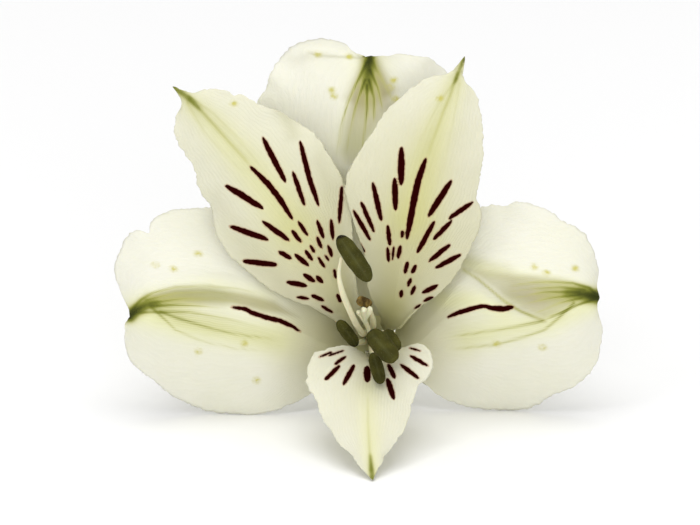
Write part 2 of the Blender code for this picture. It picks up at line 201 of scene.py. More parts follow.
TEPALS["outer_tepal_left"] = {
    "turn": 210, "tip": (130, 317, 21.5), "throat": 0.6, "warmth_and_shade": (45, 150, 0.95, 0),
    "midrib": [
        (342, 351, 8), (326, 346, 14), (295, 331, 19), (255, 314, 22.5), (215, 306, 24), (175, 305, 24),
        (150, 309, 23),
    ],
    "left": [
        (350, 362, 8), (337, 375, 11.5), (319, 389, 12.2), (299, 400.4, 12.2), (287, 405.6, 12.2),
        (275, 410.8, 12.2), (261, 413.8, 12.2), (249, 415.2, 12.2), (237, 414.6, 12.2), (219, 413.2, 12.2),
        (204, 410, 12.3), (192, 405.6, 12.5), (179.5, 400.5, 12.9), (169, 394.5, 13.3),
        (158.7, 385.7, 13.9), (150, 378, 14.5), (141, 371.5, 15.1), (133.6, 365, 15.7), (127.5, 356, 16.5),
        (125, 347.5, 17.3), (124.4, 339, 18.2), (125, 331, 19), (123.6, 326, 20), (126.2, 322.2, 20.8),
    ],
    "right": [
        (344, 322, 8), (326, 298, 13.3), (290, 262, 16.5), (255, 235, 18), (232, 215, 18.5),
        (214, 208.5, 18.5), (206, 207.3, 18.5), (192, 208, 18.5), (181, 209, 18.5), (172.6, 210.6, 18.5),
        (164, 213, 18.5), (155, 217.5, 18.5), (150.6, 222, 18.6), (149.3, 229, 18.9), (148, 233.6, 19.1),
        (141, 231, 18.7), (135, 230.4, 18.5), (130, 233.5, 18.3), (124, 241, 18), (120, 250, 18),
        (116, 259.5, 18), (114, 269, 18), (115.5, 278, 18.3), (119, 286, 18.8), (121.5, 294, 19.5),
        (126, 302.5, 20.3), (129.7, 309.4, 21),
    ],
    "streaks": [
        ([(230, 307), (245, 309), (252, 313), (266, 317.5), (280, 321), (292, 326.5), (301, 332.5)], 5),
    ],
    "veins": [
        ([(129, 316), (136, 310), (146, 305), (163, 303)], 6, 4.5, 1, 0.3),
        ([(165, 312), (220, 325), (290, 345)], 13, 14, 0.26, 0.12),
        ([(130, 315), (145, 305), (175, 302), (215, 304)], 10, 8, 0.35, 0.06),
        ([(150, 306), (175, 305), (205, 306), (230, 308)], 1.6, 1.3, 0.36, 0.24),
        ([(150, 303), (180, 299), (215, 299), (250, 304)], 1.4, 1.2, 0.31, 0.12),
        ([(146, 300), (175, 293), (210, 292), (250, 297)], 1.4, 1.2, 0.29, 0.12),
        ([(131, 311), (140, 300), (152, 293), (175, 287), (210, 286), (240, 289),
          (275, 297)], 1.8, 1.3, 0.41, 0.17),
        ([(134, 313), (160, 312), (180, 319), (215, 330), (245, 336), (280, 340)], 1.6, 1.3, 0.36, 0.19),
        ([(160, 312), (190, 312), (230, 320), (270, 332)], 1.4, 1.2, 0.31, 0.14),
        ([(152, 308), (165, 320), (175, 330), (200, 341), (235, 349), (270, 352)], 1.5, 1.3, 0.31, 0.14),
        ([(180, 322), (230, 336), (290, 345)], 9, 12, 0.1, 0.05),
    ],
    "glows": [
        ([(135, 312), (190, 325), (250, 335), (310, 345)], 15, 20, 0.85, 0.75),
        ([(150, 300), (210, 290), (285, 305)], 12, 14, 0.5, 0.5),
    ],
    "shades": [
        ([(131, 314), (150, 301), (190, 297), (245, 300)], 5, 12, 0.75, 0.12),
        ([(131, 312), (140, 301), (152, 293)], 3, 3, 0.9, 0.4),
    ],
    "panels": [
        ([(131, 315), (140, 302), (152, 293), (175, 287), (210, 287), (245, 292), (275, 300), (300, 318),
          (262, 313), (230, 305), (200, 305), (170, 304), (150, 307)], 6, 0.6),
    ],
    "folds": [
        ([(128, 318), (160, 298), (210, 295), (290, 325)], 9, -0.8),
        ([(140, 285), (175, 279), (240, 282), (300, 310)], 8, 0.6),
    ],
    "dots": [(155, 265), (198, 254), (173, 269), (244, 343.5), (198, 351.5), (256, 381)],
}
TEPALS["outer_tepal_right"] = {
    "turn": 330, "tip": (599.5, 298, 21.5), "throat": 0.6, "warmth_and_shade": (30, 110, 0.7, 0),
    "midrib": [
        (402, 351, 8), (420, 343, 14), (447, 320, 19), (480, 308, 22), (515, 306, 23.5), (550, 299, 24),
        (578, 293.5, 23),
    ],
    "left": [
        (400, 322, 8), (420, 296, 13.3), (452, 250, 16.7), (468, 222, 18.3), (480, 208.5, 18.6),
        (490, 205.5, 18.6), (496, 205, 18.6), (503, 206, 18.6), (509, 205, 18.6), (514, 202.8, 18.6),
        (525, 203, 18.5), (533, 205, 18.5), (542, 207.5, 18.5), (548, 210.5, 18.5), (553, 213, 18.5),
        (559, 218.5, 18.5), (568, 224, 18.5), (576, 226.5, 18.4), (582, 231, 18.3), (586.7, 236, 18.3),
        (590, 243, 18.2), (594, 252, 18.2), (596.7, 262, 18.2), (598.6, 270, 18.4), (597.5, 278, 19),
        (596.5, 288, 20.2),
    ],
    "right": [
        (394, 362, 8), (406, 372, 11.5), (421.7, 382, 12), (437, 394, 11.6), (447, 400, 11.3),
        (458, 404, 11), (472, 407.5, 10.9), (488, 410, 10.8), (503, 410.3, 10.8), (518, 410.6, 10.9),
        (532, 408, 11.2), (542, 403.4, 11.8), (553, 396, 12.7), (565, 391.3, 13.5), (577, 386, 14.4),
        (587, 377.5, 15.3), (592, 371, 15.9), (598, 361.5, 16.6), (601, 352, 17.2), (601.2, 345, 17.6),
        (602.5, 337, 18.1), (603.3, 330, 18.5), (599.5, 319, 19.4), (597, 310, 20.2), (596.8, 303, 21),
    ],
    "streaks": [
        ([(447, 318), (458, 313), (473, 308.3), (482, 306.2), (492, 306.3)], 4.8),
        ([(485, 306.5), (493, 308.3), (503, 309), (514.5, 307)], 5.8),
    ],
    "veins": [
        ([(598, 296), (590, 288), (573, 283), (557, 282), (540, 282), (523, 284),
          (503, 287.5)], 1.8, 1.5, 0.49, 0.27),
        ([(598, 298), (590, 301), (578, 305), (565, 311), (553, 316), (543, 321)], 1.8, 1.6, 0.49, 0.41),
        ([(601, 297), (592, 296), (580, 293.5), (560, 293)], 6, 5, 1.15, 0.2),
        ([(600, 297), (585, 294), (560, 293), (525, 294)], 10, 10, 0.55, 0.14),
        ([(585, 290), (560, 287), (530, 289), (500, 293)], 1.3, 1.1, 0.38, 0.16),
        ([(580, 292), (545, 292), (520, 297), (503, 300)], 1.3, 1.1, 0.38, 0.19),
        ([(580, 295), (550, 298), (530, 303), (517, 307)], 1.3, 1.1, 0.38, 0.19),
        ([(582, 298), (560, 303), (545, 309), (532, 315)], 1.3, 1.1, 0.38, 0.19),
        ([(464, 270), (478, 279), (490, 289), (504, 301), (520, 311), (532, 316),
          (545, 321)], 2, 1.8, 0.32, 0.43),
        ([(543, 321), (515, 327), (485, 332), (446, 338)], 1.8, 1.4, 0.41, 0.24),
        ([(574, 303), (560, 317), (545, 330), (525, 337), (497, 345), (442, 351)], 1.8, 1.5, 0.41, 0.24),
        ([(560, 316), (505, 336), (446, 343)], 10, 12, 0.13, 0.08),
    ],
    "glows": [
        ([(598, 300), (550, 322), (500, 330), (440, 345)], 13, 18, 0.75, 0.7),
        ([(440, 300), (480, 302), (518, 318)], 12, 10, 0.65, 0.6),
        ([(468, 264), (520, 277), (592, 290)], 9, 8, 0.5, 0.5),
    ],
    "shades": [
        ([(598, 297), (570, 295), (535, 298), (495, 290)], 5, 13, 0.8, 0.25),
        ([(456, 258), (480, 266), (520, 271)], 9, 6, 0.42, 0.12),
        ([(545, 321), (532, 316), (520, 311), (504, 301), (490, 289), (478, 279),
          (464, 270)], 1.8, 1.8, 0.4, 0.3), ([(598, 299), (585, 293), (570, 291)], 4, 4, 0.9, 0.4),
    ],
    "panels": [
        ([(462, 268), (480, 268), (505, 272), (530, 274), (560, 277), (585, 284), (598, 295), (580, 303),
          (560, 313), (545, 320), (532, 315), (520, 310), (504, 300), (490, 288), (478, 278)], 6, 0.5),
    ],
    "folds": [
        ([(452, 262), (478, 275), (505, 298), (545, 317), (575, 303)], 7, 0.9),
        ([(602, 298), (560, 295), (500, 290)], 9, -0.8),
    ],
    "dots": [(534.5, 266.5), (547, 273), (576, 268.5), (543, 347.5), (497, 344)],
}
TEPALS["inner_tepal_left"] = {
    "turn": 150, "tip": (173.5, 87.5, 32.5), "throat": 0.6, "warmth_and_shade": (60, 220, 1, 0.4),
    "midrib": [
        (354, 324, 9), (344, 304, 17), (325, 270, 22.5), (293, 220, 26.5), (250, 166, 29.5), (215, 126, 31),
        (192, 103, 32),
    ],
    "left": [
        (348, 331, 9), (330, 318, 15), (313, 308, 18), (296, 301, 19.3), (280, 294, 20.4), (266, 286, 21.2),
        (252, 274.5, 21.8), (239, 263.5, 22.5), (229, 254.5, 23), (223, 245, 23.4), (218, 236, 23.7),
        (215, 228, 23.9), (214, 217, 24.2), (212.5, 208.5, 24.5), (206, 198, 25.2), (199.8, 188, 25.9),
        (197.5, 179, 26.4), (195, 169, 27.2), (190, 158.5, 28), (181, 148, 28.8), (177.3, 139, 29.5),
        (175, 132, 30), (176, 123.6, 30.3), (178.3, 115, 30.7), (182, 109, 31), (186.5, 104, 31.6),
        (182, 97.5, 32), (177.5, 92.5, 32.3),
    ],
    "right": [
        (362, 316, 9), (357, 290, 17), (353, 255, 21.7), (352, 222, 24.8), (348.5, 195, 26.6),
        (339, 172, 28.1), (328, 154, 28.8), (317, 137, 29.2), (309.5, 130.5, 29.4), (301, 125, 29.6),
        (293, 120, 29.8), (285, 115, 29.9), (275, 110, 30.1), (264.5, 106, 30.2), (257, 103.5, 30.3),
        (252, 101, 30.4), (246, 97.3, 30.5), (239, 95, 30.5), (235, 97, 30.5), (232, 95.5, 30.6),
        (228, 92, 30.6), (218, 90.3, 30.8), (207, 90.6, 31), (199.5, 93.2, 31.3), (194.5, 96.6, 31.7),
        (190, 95.3, 31.9), (184, 92, 32.1), (178.5, 89.2, 32.4),
    ],
    "streaks": [
        ([(262.5, 137), (286, 183)], 6), ([(300, 141), (309, 177), (319, 207)], 5.5),
        ([(292.5, 171), (305, 206)], 5), ([(250, 166), (268, 184), (280, 199), (293, 220)], 6),
        ([(225, 185), (264, 209)], 6.5), ([(229, 226), (269, 240)], 6), ([(262, 221), (290, 241)], 5.5),
        ([(242, 261), (278, 265)], 6), ([(298, 221), (308, 236)], 4.4), ([(291.5, 230), (302, 243)], 4.4),
        ([(317, 220), (324, 239)], 4.4), ([(331, 219), (333, 240)], 4.4), ([(342, 186), (339, 224)], 4.4),
        ([(316.5, 236), (322, 249)], 4), ([(310, 245), (315, 253)], 3.6), ([(328, 245), (332, 257)], 4.2),
        ([(278, 251), (292, 259)], 5), ([(294.5, 254), (309, 266)], 5), ([(305, 250), (313, 261)], 4.4),
        ([(318, 257), (325, 268)], 3.6), ([(325, 255), (329, 261)], 3), ([(286, 282), (307, 286)], 5.4),
        ([(303, 274), (315, 282)], 5), ([(316, 276), (323, 283)], 4.8), ([(334, 269), (336, 279)], 3.4),
        ([(296, 297), (309, 299)], 3.4), ([(311, 295), (324, 301)], 4.6), ([(337, 294), (341, 303)], 4),
        ([(321, 306), (333, 313)], 3.4),
    ],
    "veins": [
        ([(173, 88), (183, 94), (192, 101), (204, 113)], 4.2, 3, 0.68, 0.15),
        ([(190, 100), (202, 111.5), (216, 127), (230, 143), (244, 158), (256, 172)], 2.6, 2, 0.32, 0.2),
        ([(190, 97), (214, 114), (240, 140), (268, 175)], 1.7, 1.4, 0.17, 0.08),
        ([(186, 98), (216, 127), (262, 182)], 10, 18, 0.17, 0.07),
        ([(188, 104), (205, 133), (227, 156), (250, 180)], 2, 1.6, 0.16, 0.07),
    ],
    "glows": [([(178, 92), (216, 127), (262, 182), (315, 260)], 12, 26, 0.45, 0.75)],
    "shades": [([(283, 108), (290, 124), (297, 144)], 9, 8, 0.3, 0.15)],
    "panels": [
        ([(322, 150), (338, 176), (346, 210), (356, 290), (342, 300), (330, 250), (322, 210),
          (308, 160)], 14, 0.17),
        ([(205, 190), (216, 232), (236, 262), (275, 292), (300, 300), (280, 260), (245, 215),
          (222, 185)], 14, 0.14),
    ],
    "folds": [
        ([(180, 95), (216, 127), (260, 182), (300, 245)], 8, -0.7),
        ([(318, 128), (300, 118), (278, 104)], 12, -0.7),
    ],
    "dots": [(234, 104)],
}
TEPALS["inner_tepal_right"] = {
    "turn": 30, "tip": (464, 57.5, 33), "throat": 0.6, "warmth_and_shade": (60, 220, 1, 0.4),
    "midrib": [
        (389, 323, 9), (394, 303, 16), (400, 270, 22), (408, 235, 26), (418, 190, 29), (430, 146, 31),
        (445, 105, 32), (455, 77, 32.5),
    ],
    "left": [
        (381, 315, 9), (369, 290, 16), (365, 255, 21.5), (354, 222, 25.5), (346, 195, 28), (348, 174, 29.5),
        (356, 158, 30), (362, 147, 30.3), (368, 139, 30.5), (374, 131, 30.6), (381, 118.5, 30.8),
        (387, 110.5, 31), (395, 104, 31.1), (402.6, 96.6, 31.2), (408, 92, 31.3), (416, 86, 31.5),
        (422, 81.5, 31.6), (427, 79, 31.6), (435, 76.5, 31.7), (443, 78, 31.9), (449, 77.5, 32.1),
        (453, 75, 32.3), (456, 69, 32.6), (460, 62, 32.8),
    ],
    "right": [
        (396, 330, 9), (401, 327, 13), (415, 311, 17), (427, 302, 18.3), (437, 296, 19.2), (445, 288, 20),
        (452, 280, 20.6), (458, 271, 21.4), (463, 262, 22.2), (468, 252.5, 23), (474, 241, 23.7),
        (478, 231, 24.3), (480.5, 222, 25), (480.5, 210.5, 25.5), (478.5, 204.6, 25.9),
        (476.3, 199.5, 26.3), (476.4, 192, 26.8), (478.3, 185.5, 27.2), (479, 179, 27.6), (481, 170, 28.2),
        (482.6, 158, 28.9), (482.6, 147, 29.4), (482, 131, 30), (481, 120, 30.4), (479, 111, 30.7),
        (477, 100, 31.1), (474, 94, 31.3), (470.5, 88.8, 31.5), (465, 85.5, 31.8), (460.5, 81.3, 32),
        (461, 74, 32.4), (462.5, 66, 32.8),
    ],
    "streaks": [
        ([(401.2, 147), (401, 186)], 7), ([(394.5, 177.6), (395.4, 211)], 6),
        ([(426, 158), (418, 180), (413, 205), (406.5, 240)], 7), ([(451.5, 180), (428, 217)], 6.5),
        ([(473, 202), (448, 219)], 5), ([(451.5, 221), (433, 240)], 5), ([(434.7, 221), (417, 253)], 5.5),
        ([(450.7, 244), (428.3, 262)], 5), ([(461.7, 254), (435.3, 268.3)], 5),
        ([(372.4, 182), (381.5, 221)], 5.5), ([(360.8, 201), (374.2, 232.5)], 4.6),
        ([(353, 209.6), (370.6, 240.6)], 4.6), ([(350, 231.5), (365, 252.3)], 3.6),
        ([(387.6, 225), (390, 246)], 4.6), ([(402.7, 230), (401.7, 238)], 3.6),
        ([(387.3, 247), (388.9, 262)], 4), ([(393.7, 246), (392.6, 260)], 3),
        ([(400.6, 245.4), (397.9, 258.7)], 4.5), ([(408, 261), (404.9, 273.7)], 4.5),
        ([(416, 264.6), (412, 273.7)], 4.5), ([(411.3, 278), (408, 286.7)], 4),
        ([(415.5, 285.4), (411.3, 295)], 4), ([(402, 290), (401, 298)], 4),
        ([(438.5, 285), (422, 293.4)], 5), ([(433.7, 297), (423.5, 301.4)], 3.6),
        ([(421.4, 304.6), (414.5, 309.4)], 3),
    ],
    "veins": [
        ([(464, 58), (460, 68), (456.5, 77), (453, 86)], 3.6, 2.4, 0.68, 0.2),
        ([(457, 75), (449, 98), (443, 112), (437, 129), (431, 145), (425, 165)], 2.2, 1.8, 0.28, 0.16),
        ([(456, 80), (438, 104), (425, 130), (412, 160)], 1.7, 1.3, 0.16, 0.08),
        ([(455, 80), (444, 110), (430, 145), (420, 175)], 9, 16, 0.15, 0.07),
        ([(459, 84), (455, 110), (447, 150), (440, 180)], 1.8, 1.5, 0.15, 0.07),
    ],
    "glows": [([(461, 68), (443, 112), (425, 165), (402, 250)], 12, 26, 0.5, 0.85)],
    "folds": [([(462, 70), (443, 111), (424, 170), (412, 240)], 8, -0.7)],
    "dots": [(439.5, 99)],
}
TEPALS["inner_tepal_lower"] = {
    "turn": 270, "tip": (372.5, 478.5, 37), "throat": 0.6, "warmth_and_shade": (60, 220, 0.4, 0.16),
    "midrib": [
        (372, 358, 9), (372, 364, 17), (370, 371, 22.5), (368, 384, 27.5), (367.5, 405, 32),
        (368.5, 435, 35), (370, 462, 36.3),
    ],
    "left": [
        (364, 356, 9), (361, 353, 16), (353, 347.5, 20), (345, 346, 22), (335.5, 347, 23.3),
        (327, 349, 24.3), (319.5, 351.7, 25), (314, 354, 25.5), (310.5, 360, 26.2), (307.5, 371, 27),
        (307, 382, 27.8), (309.4, 389, 28.4), (313, 394, 28.8), (317.2, 401, 29.3), (319.7, 409, 30),
        (324, 419, 31), (330, 428.5, 32), (334.5, 436.5, 32.8), (340, 443.2, 33.5), (345, 448, 34),
        (350.5, 451.5, 34.5), (355, 457, 35), (358, 463, 35.5), (362, 467, 35.9), (366, 470.6, 36.3),
    ],
    "right": [
        (380, 356, 9), (383, 353, 16), (392, 350, 20), (400.6, 348.5, 22), (406, 347, 23),
        (412, 344.8, 23.8), (418.7, 344, 24.6), (424, 345.5, 25.2), (429, 350, 25.7), (432, 357, 26.2),
        (433, 364.5, 26.8), (431, 372, 27.4), (427, 377.6, 27.8), (421.4, 381.5, 28.2),
        (418.3, 384.5, 28.4), (416, 391, 28.9), (413.4, 399, 29.4), (410.9, 404.5, 29.9),
        (409.5, 411, 30.4), (407.6, 417.5, 31), (405, 424, 31.6), (401.3, 431.7, 32.3),
        (396.3, 438.5, 33.2), (391.5, 445.5, 34), (386.2, 451, 34.6), (382.5, 455.5, 35),
        (381, 461.5, 35.5), (378, 465.5, 36), (375, 470, 36.4),
    ],
    "streaks": [
        ([(318.5, 357.5), (332, 352)], 2.4), ([(328, 356), (344, 350.5)], 2.4),
        ([(334.5, 364.5), (346, 356.5)], 3.6), ([(324.5, 380), (340, 365.5)], 4.6),
        ([(343, 385), (354.5, 364.5)], 5), ([(367, 366), (367.5, 382)], 7.5),
        ([(388, 364), (395, 378.5)], 5), ([(387, 378), (394, 399)], 6), ([(400, 364), (419, 378.5)], 4.4),
        ([(410, 355.5), (428, 366)], 4), ([(409, 348), (421, 351)], 2.4),
    ],
    "veins": [
        ([(372.3, 478), (371.2, 466), (370, 450)], 4.5, 3, 0.65, 0.2),
        ([(371, 468), (369.5, 450), (368, 425), (367.5, 385)], 2.4, 1.6, 0.32, 0.18),
    ],
    "glows": [([(372, 472), (369, 420), (368, 370)], 8, 14, 0.7, 0.3)],
    "folds": [([(372, 478), (368.5, 440), (367.5, 390)], 6, -0.5)],
}

# Each stamen: where its foot stands round the bloom in degrees, the anther's thickness in
# millimetres, the anther from its held end to its free end, and the filament's way from the foot.
STAMENS = [
    {"turn": 150, "across": 2.6, "anther": [(338.5, 236, 33.9), (370, 281, 34.9)],
     "way": [(364.6, 333.8, 10), (361.5, 333, 17), (354, 320, 23), (343, 294, 28.4), (339, 275, 30.2),
             (341, 257, 31.2)]},
    {"turn": 330, "across": 2.9, "anther": [(370, 331.5, 28.5), (395, 360, 33.8)],
     "way": [(379.4, 342.3, 10), (379.5, 345, 19), (378.5, 347, 27)]},
    {"turn": 270, "across": 1.9, "anther": [(373, 353, 25.5), (381, 383, 30.2)],
     "way": [(372, 346.5, 10), (372, 351, 18), (374.5, 355.5, 23.6)]},
    {"turn": 210, "across": 1.8, "anther": [(357, 346, 18.9), (338, 321, 22.4)],
     "way": [(364.6, 342.3, 10), (361, 342.8, 14.5), (357.8, 344.6, 17.3)]},
    {"turn": 90, "across": 1.5, "aged": 1.0, "anther": [(371, 305.5, 20.6), (357.5, 299.5, 23)],
     "way": [(372, 329.5, 10), (373.5, 325, 14), (371.5, 311, 18.9)]},
    {"turn": 30, "across": 2.2, "anther": [(384.5, 331.5, 24.5), (397.5, 350, 28.5)],
     "way": [(379.4, 333.8, 10), (383, 333.5, 16), (385.5, 333.5, 22.6)]},
]
STYLE_ARMS = [
    [(364.5, 320.5, 20), (368, 313.5, 21.6), (370.5, 307, 22.3)],
    [(364.5, 320.5, 20), (364, 314, 22.2), (364, 308.5, 23.8)],
]
STYLE_WAY = [(372, 338, 10), (371.5, 338, 15), (367, 326, 18), (363, 318.5, 20.5), (357.5, 311, 21.8)]


def length(name, words, default, least=0.0):
    return bpy.props.FloatProperty(name=name, description=words, default=default, min=least, unit="LENGTH")


class BloomSizes(bpy.types.PropertyGroup):
    blade: length("Petal thickness", "Thickness of each petal's blade", 0.0004, 0.0001)
    wave: length("Petal wave", "Height of the soft waves over each petal", 0.0005)
    ruffle: length("Margin ruffle", "Height of the small waves along each petal's margins", 0.0004)
    fringe: length("Margin fringe", "Depth of the fine nicks along each petal's margins", 0.0002)
    filament: length("Filament radius", "Radius of each stamen's thread at its foot", 0.00047)
    style: length("Style radius", "Radius of the style", 0.00034)
    ovary: length("Ovary radius", "Radius of the ovary where the petals leave it", 0.0034)
    stalk: length("Stalk radius", "Radius of the flower stalk", 0.0012)
    grain: length("Pollen grain", "Radius of one pollen grain", 0.00003)
    grains: bpy.props.FloatProperty(
        name="Pollen density", description="Pollen grains on a square metre of anther", default=8.0e6
    )
    ribs: bpy.props.IntProperty(
        name="Ovary ribs", description="Number of ribs round the ovary", default=6, min=3
    )


def colour(name, words, default):
    return bpy.props.FloatVectorProperty(
        name=name, description=words, default=default, subtype="COLOR", size=3, min=0, max=1
    )


class BloomColours(bpy.types.PropertyGroup):
    petal: colour("Petal", "Cream white of the petals", (0.765, 0.756, 0.655))
    # The heart colour is a warmer cream, darkened with painted shade for the inner petals deep in the bloom.
    heart: colour("Heart", "Warmer cream of the inner petals", (0.575, 0.55, 0.325))
    throat: colour("Throat", "Yellow green deep between the petals", (0.5, 0.48, 0.2))
    green: colour("Petal green", "Green of the petals' tips and veins", (0.022, 0.029, 0.003))
    dot: colour("Petal dots", "Small yellow dots on the petals", (0.52, 0.48, 0.09))
    streak: colour("Streaks", "Dark maroon of the streaks", (0.021, 0.001, 0.0009))
    filament: colour("Filament", "Cream of the stamens' threads", (0.68, 0.65, 0.44))
    anther: colour("Anther", "Olive green of the anthers", (0.038, 0.036, 0.006))
    pollen: colour("Pollen", "Paler green of the pollen grains", (0.085, 0.08, 0.02))
    ovary: colour("Ovary", "Green of the ovary", (0.13, 0.24, 0.04))
    stalk: colour("Stalk", "Green of the flower stalk", (0.17, 0.28, 0.07))
    floor: colour("Floor", "Pale floor", (0.95, 0.95, 0.95))


def face_point(column, row, height):
    """A point of the face grid in the bloom's own frame, in metres."""
    right = (column - GRID_CENTRE[0]) * SQUARE
    up = (GRID_CENTRE[1] - row) * SQUARE
    return Vector((right, up, height * MM))


def grid_places(points):
    """The columns and rows on the face grid of points in the bloom's own frame."""
    return np.c_[GRID_CENTRE[0] + points[:, 0] / SQUARE, GRID_CENTRE[1] - points[:, 1] / SQUARE]


def round_foot(turn):
    """The way outwards from the bloom's middle, turn degrees from the right of the face."""
    angle = math.radians(turn)
    return Vector((math.cos(angle), math.sin(angle), 0))


def curve_through(points, count):
    """count points evenly spaced along a smooth curve through the given ones."""
    ends = [2 * points[0] - points[1], *points, 2 * points[-1] - points[-2]]
    fine = []
    steps = 12
    for a, b, c, d in zip(ends, ends[1:], ends[2:], ends[3:]):
        for i in range(steps):
            t = i / steps
            bend = (2 * a - 5 * b + 4 * c - d) * t**2 + (3 * b - a - 3 * c + d) * t**3
            fine.append(0.5 * (2 * b + (c - a) * t + bend))
    fine.append(points[-1])
    along = [0.0]
    for a, b in zip(fine, fine[1:]):
        along.append(along[-1] + (b - a).length)
    spaced = []
    at = 0
    for i in range(count):
        target = along[-1] * i / (count - 1)
        while at < len(fine) - 2 and along[at + 1] < target:
            at += 1
        share = (target - along[at]) / max(along[at + 1] - along[at], 1e-12)
        spaced.append(fine[at].lerp(fine[at + 1], min(share, 1.0)))
    return spaced


def smooth_step(value, low, high):
    share = np.clip((value - low) / (high - low), 0, 1)
    return share * share * (3 - 2 * share)


def stroke_reach(flat, points):
    """How far each flat point is from a broken line, and how far along it the nearest place is, 0 to 1."""
    corners = np.array(points, float)
    runs = np.diff(corners, axis=0)
    lengths = np.linalg.norm(runs, axis=1)
    starts = np.concatenate([[0], np.cumsum(lengths)])
    nearest = np.full(len(flat), np.inf)
    along = np.zeros(len(flat))
    for corner, run, long, start in zip(corners, runs, lengths, starts):
        offset = flat - corner
        share = np.clip((offset @ run) / long**2, 0, 1)
        gap = np.linalg.norm(offset - share[:, None] * run, axis=1)
        closer = gap < nearest
        nearest = np.where(closer, gap, nearest)
        along = np.where(closer, (start + share * long) / starts[-1], along)
    return nearest, along


def streak_field(flat, streaks):
    """Millimetres from each flat point to the nearest streak's edge, below zero inside it."""
    field = np.full(len(flat), float(STREAK_REACH))
    for points, width in streaks:
        gap, along = stroke_reach(flat, points)
        field = np.minimum(field, gap - width / 2 * (4 * along * (1 - along)) ** STREAK_BLUNT)
    return field * SQUARE / MM


def vein_field(flat, veins):
    """How strongly each flat point is painted, 0 to 1, by lines that change width and strength."""
    field = np.zeros(len(flat))
    for points, wide_start, wide_end, strong_start, strong_end in veins:
        gap, along = stroke_reach(flat, points)
        wide = wide_start + (wide_end - wide_start) * along
        strong = strong_start + (strong_end - strong_start) * along
        fade = np.clip((1 - along) * 6, 0, 1)
        field = 1 - (1 - field) * (1 - strong * fade * np.exp(-((gap / wide) ** 2)))
    return field


def shade_panel_field(flat, panels):
    """How deep each flat point lies inside its soft-edged panels of painted shade, 0 to 1 times the panel's
    strength.
    """
    field = np.zeros(len(flat))
    for corners, soft, strength in panels:
        outline = [*corners, corners[0]]
        gap, _ = stroke_reach(flat, outline)
        inside = np.zeros(len(flat), bool)
        for (ax, ay), (bx, by) in zip(outline, outline[1:]):
            crosses = (ay > flat[:, 1]) != (by > flat[:, 1])
            reach = ax + (flat[:, 1] - ay) * (bx - ax) / ((by - ay) or 1e-9)
            inside ^= crosses & (flat[:, 0] < reach)
        depth = np.where(inside, gap, -gap)
        field = np.maximum(field, strength * smooth_step(depth, -soft / 2, soft))
    return field


def dot_field(flat, dots):
    """How yellow each flat point is, 0 to 1, from the petal's small dots."""
    field = np.zeros(len(flat))
    for column, row in dots:
        gap = np.hypot((flat[:, 0] - column) / DOT_STRETCH, flat[:, 1] - row)
        field = np.maximum(field, np.clip((DOT_SIZE - gap) / DOT_EDGE, 0, 1))
    return field


def back_field(solid):
    """1 on the blade's outer face and 0 on the face that the bloom shows, from the wall's two layers."""
    half = len(solid.vertices) // 2
    facing = sum(vertex.normal.z for vertex in solid.vertices[:half])
    first = 0.0 if facing > 0 else 1.0
    return np.r_[np.full(half, first), np.full(len(solid.vertices) - half, 1 - first)]


def petal_fields(solid, tepal):
    """What each point of a petal holds for its material, by name."""
    flat = grid_places(points_of(solid))
    # Painted shade, in strokes and in soft-edged panels, over creases, channels, rolled edges and overlaps.
    painted = vein_field(flat, tepal.get("shades", []))
    panel_shade = shade_panel_field(flat, tepal.get("panels", []))
    reach = np.hypot(flat[:, 0] - THROAT[0], (flat[:, 1] - THROAT[1]) * THROAT_SQUASH)
    near, far, most, least = tepal["warmth_and_shade"]
    return {
        "mark": streak_field(flat, tepal.get("streaks", [])),
        "green": vein_field(flat, tepal["veins"]),
        "dot": dot_field(flat, tepal.get("dots", [])),
        "glow": vein_field(flat, tepal["glows"]),
        "shade": 1 - (1 - painted) * (1 - panel_shade),
        "throat": tepal["throat"] * (1 - smooth_step(reach, *THROAT_EDGE)),
        # A warmer, darker cream towards the throat: partly the petals' own tint, partly painted shade.
        "warmth_and_shade": most + (least - most) * smooth_step(reach, near, far),
        "back": back_field(solid),
    }


def eased(curve, reach):
    """The curve with its notches smoothed away: each point is the mean of those up to reach beside it."""
    soft = []
    last = len(curve) - 1
    for index in range(last + 1):
        near = min(reach, index, last - index)
        run = curve[index - near : index + near + 1]
        soft.append(sum(run, Vector((0, 0, 0))) / len(run))
    return soft


def blade_curves(name, tepal, seed, fringe):
    """The tepal's midrib and nicked margins from foot to tip, and its margins smoothed."""
    outer = name.startswith("outer")
    ring, half_width = (OUTER_RING, OUTER_FOOT_HALF) if outer else (INNER_RING, INNER_FOOT_HALF)
    outward = round_foot(tepal["turn"])
    middle = outward * ring + Vector((0, 0, FOOT_GAP))
    aside = Vector((-outward.y, outward.x, 0)) * half_width
    curves = {}
    for side, foot in (("midrib", middle), ("left", middle + aside), ("right", middle - aside)):
        points = [foot, *(face_point(*p) for p in (*tepal[side], tepal["tip"]))]
        curves[side] = curve_through(points, TEPAL_ROWS + 1)
    soft = {side: eased(curves[side], MARGIN_EASE) for side in ("left", "right")}
    for side in soft:
        for row, place in enumerate(curves[side]):
            nick = noise.noise(place / NICK + seed) + 0.9 * noise.noise(place / FINE_NICK + seed)
            free = min(1.0, row / PLAIN_FOOT_ROWS) * min(1.0, (TEPAL_ROWS - row) / PLAIN_TIP_ROWS)
            place += (place - curves["midrib"][row]).normalized() * fringe * nick * free
    return curves, soft


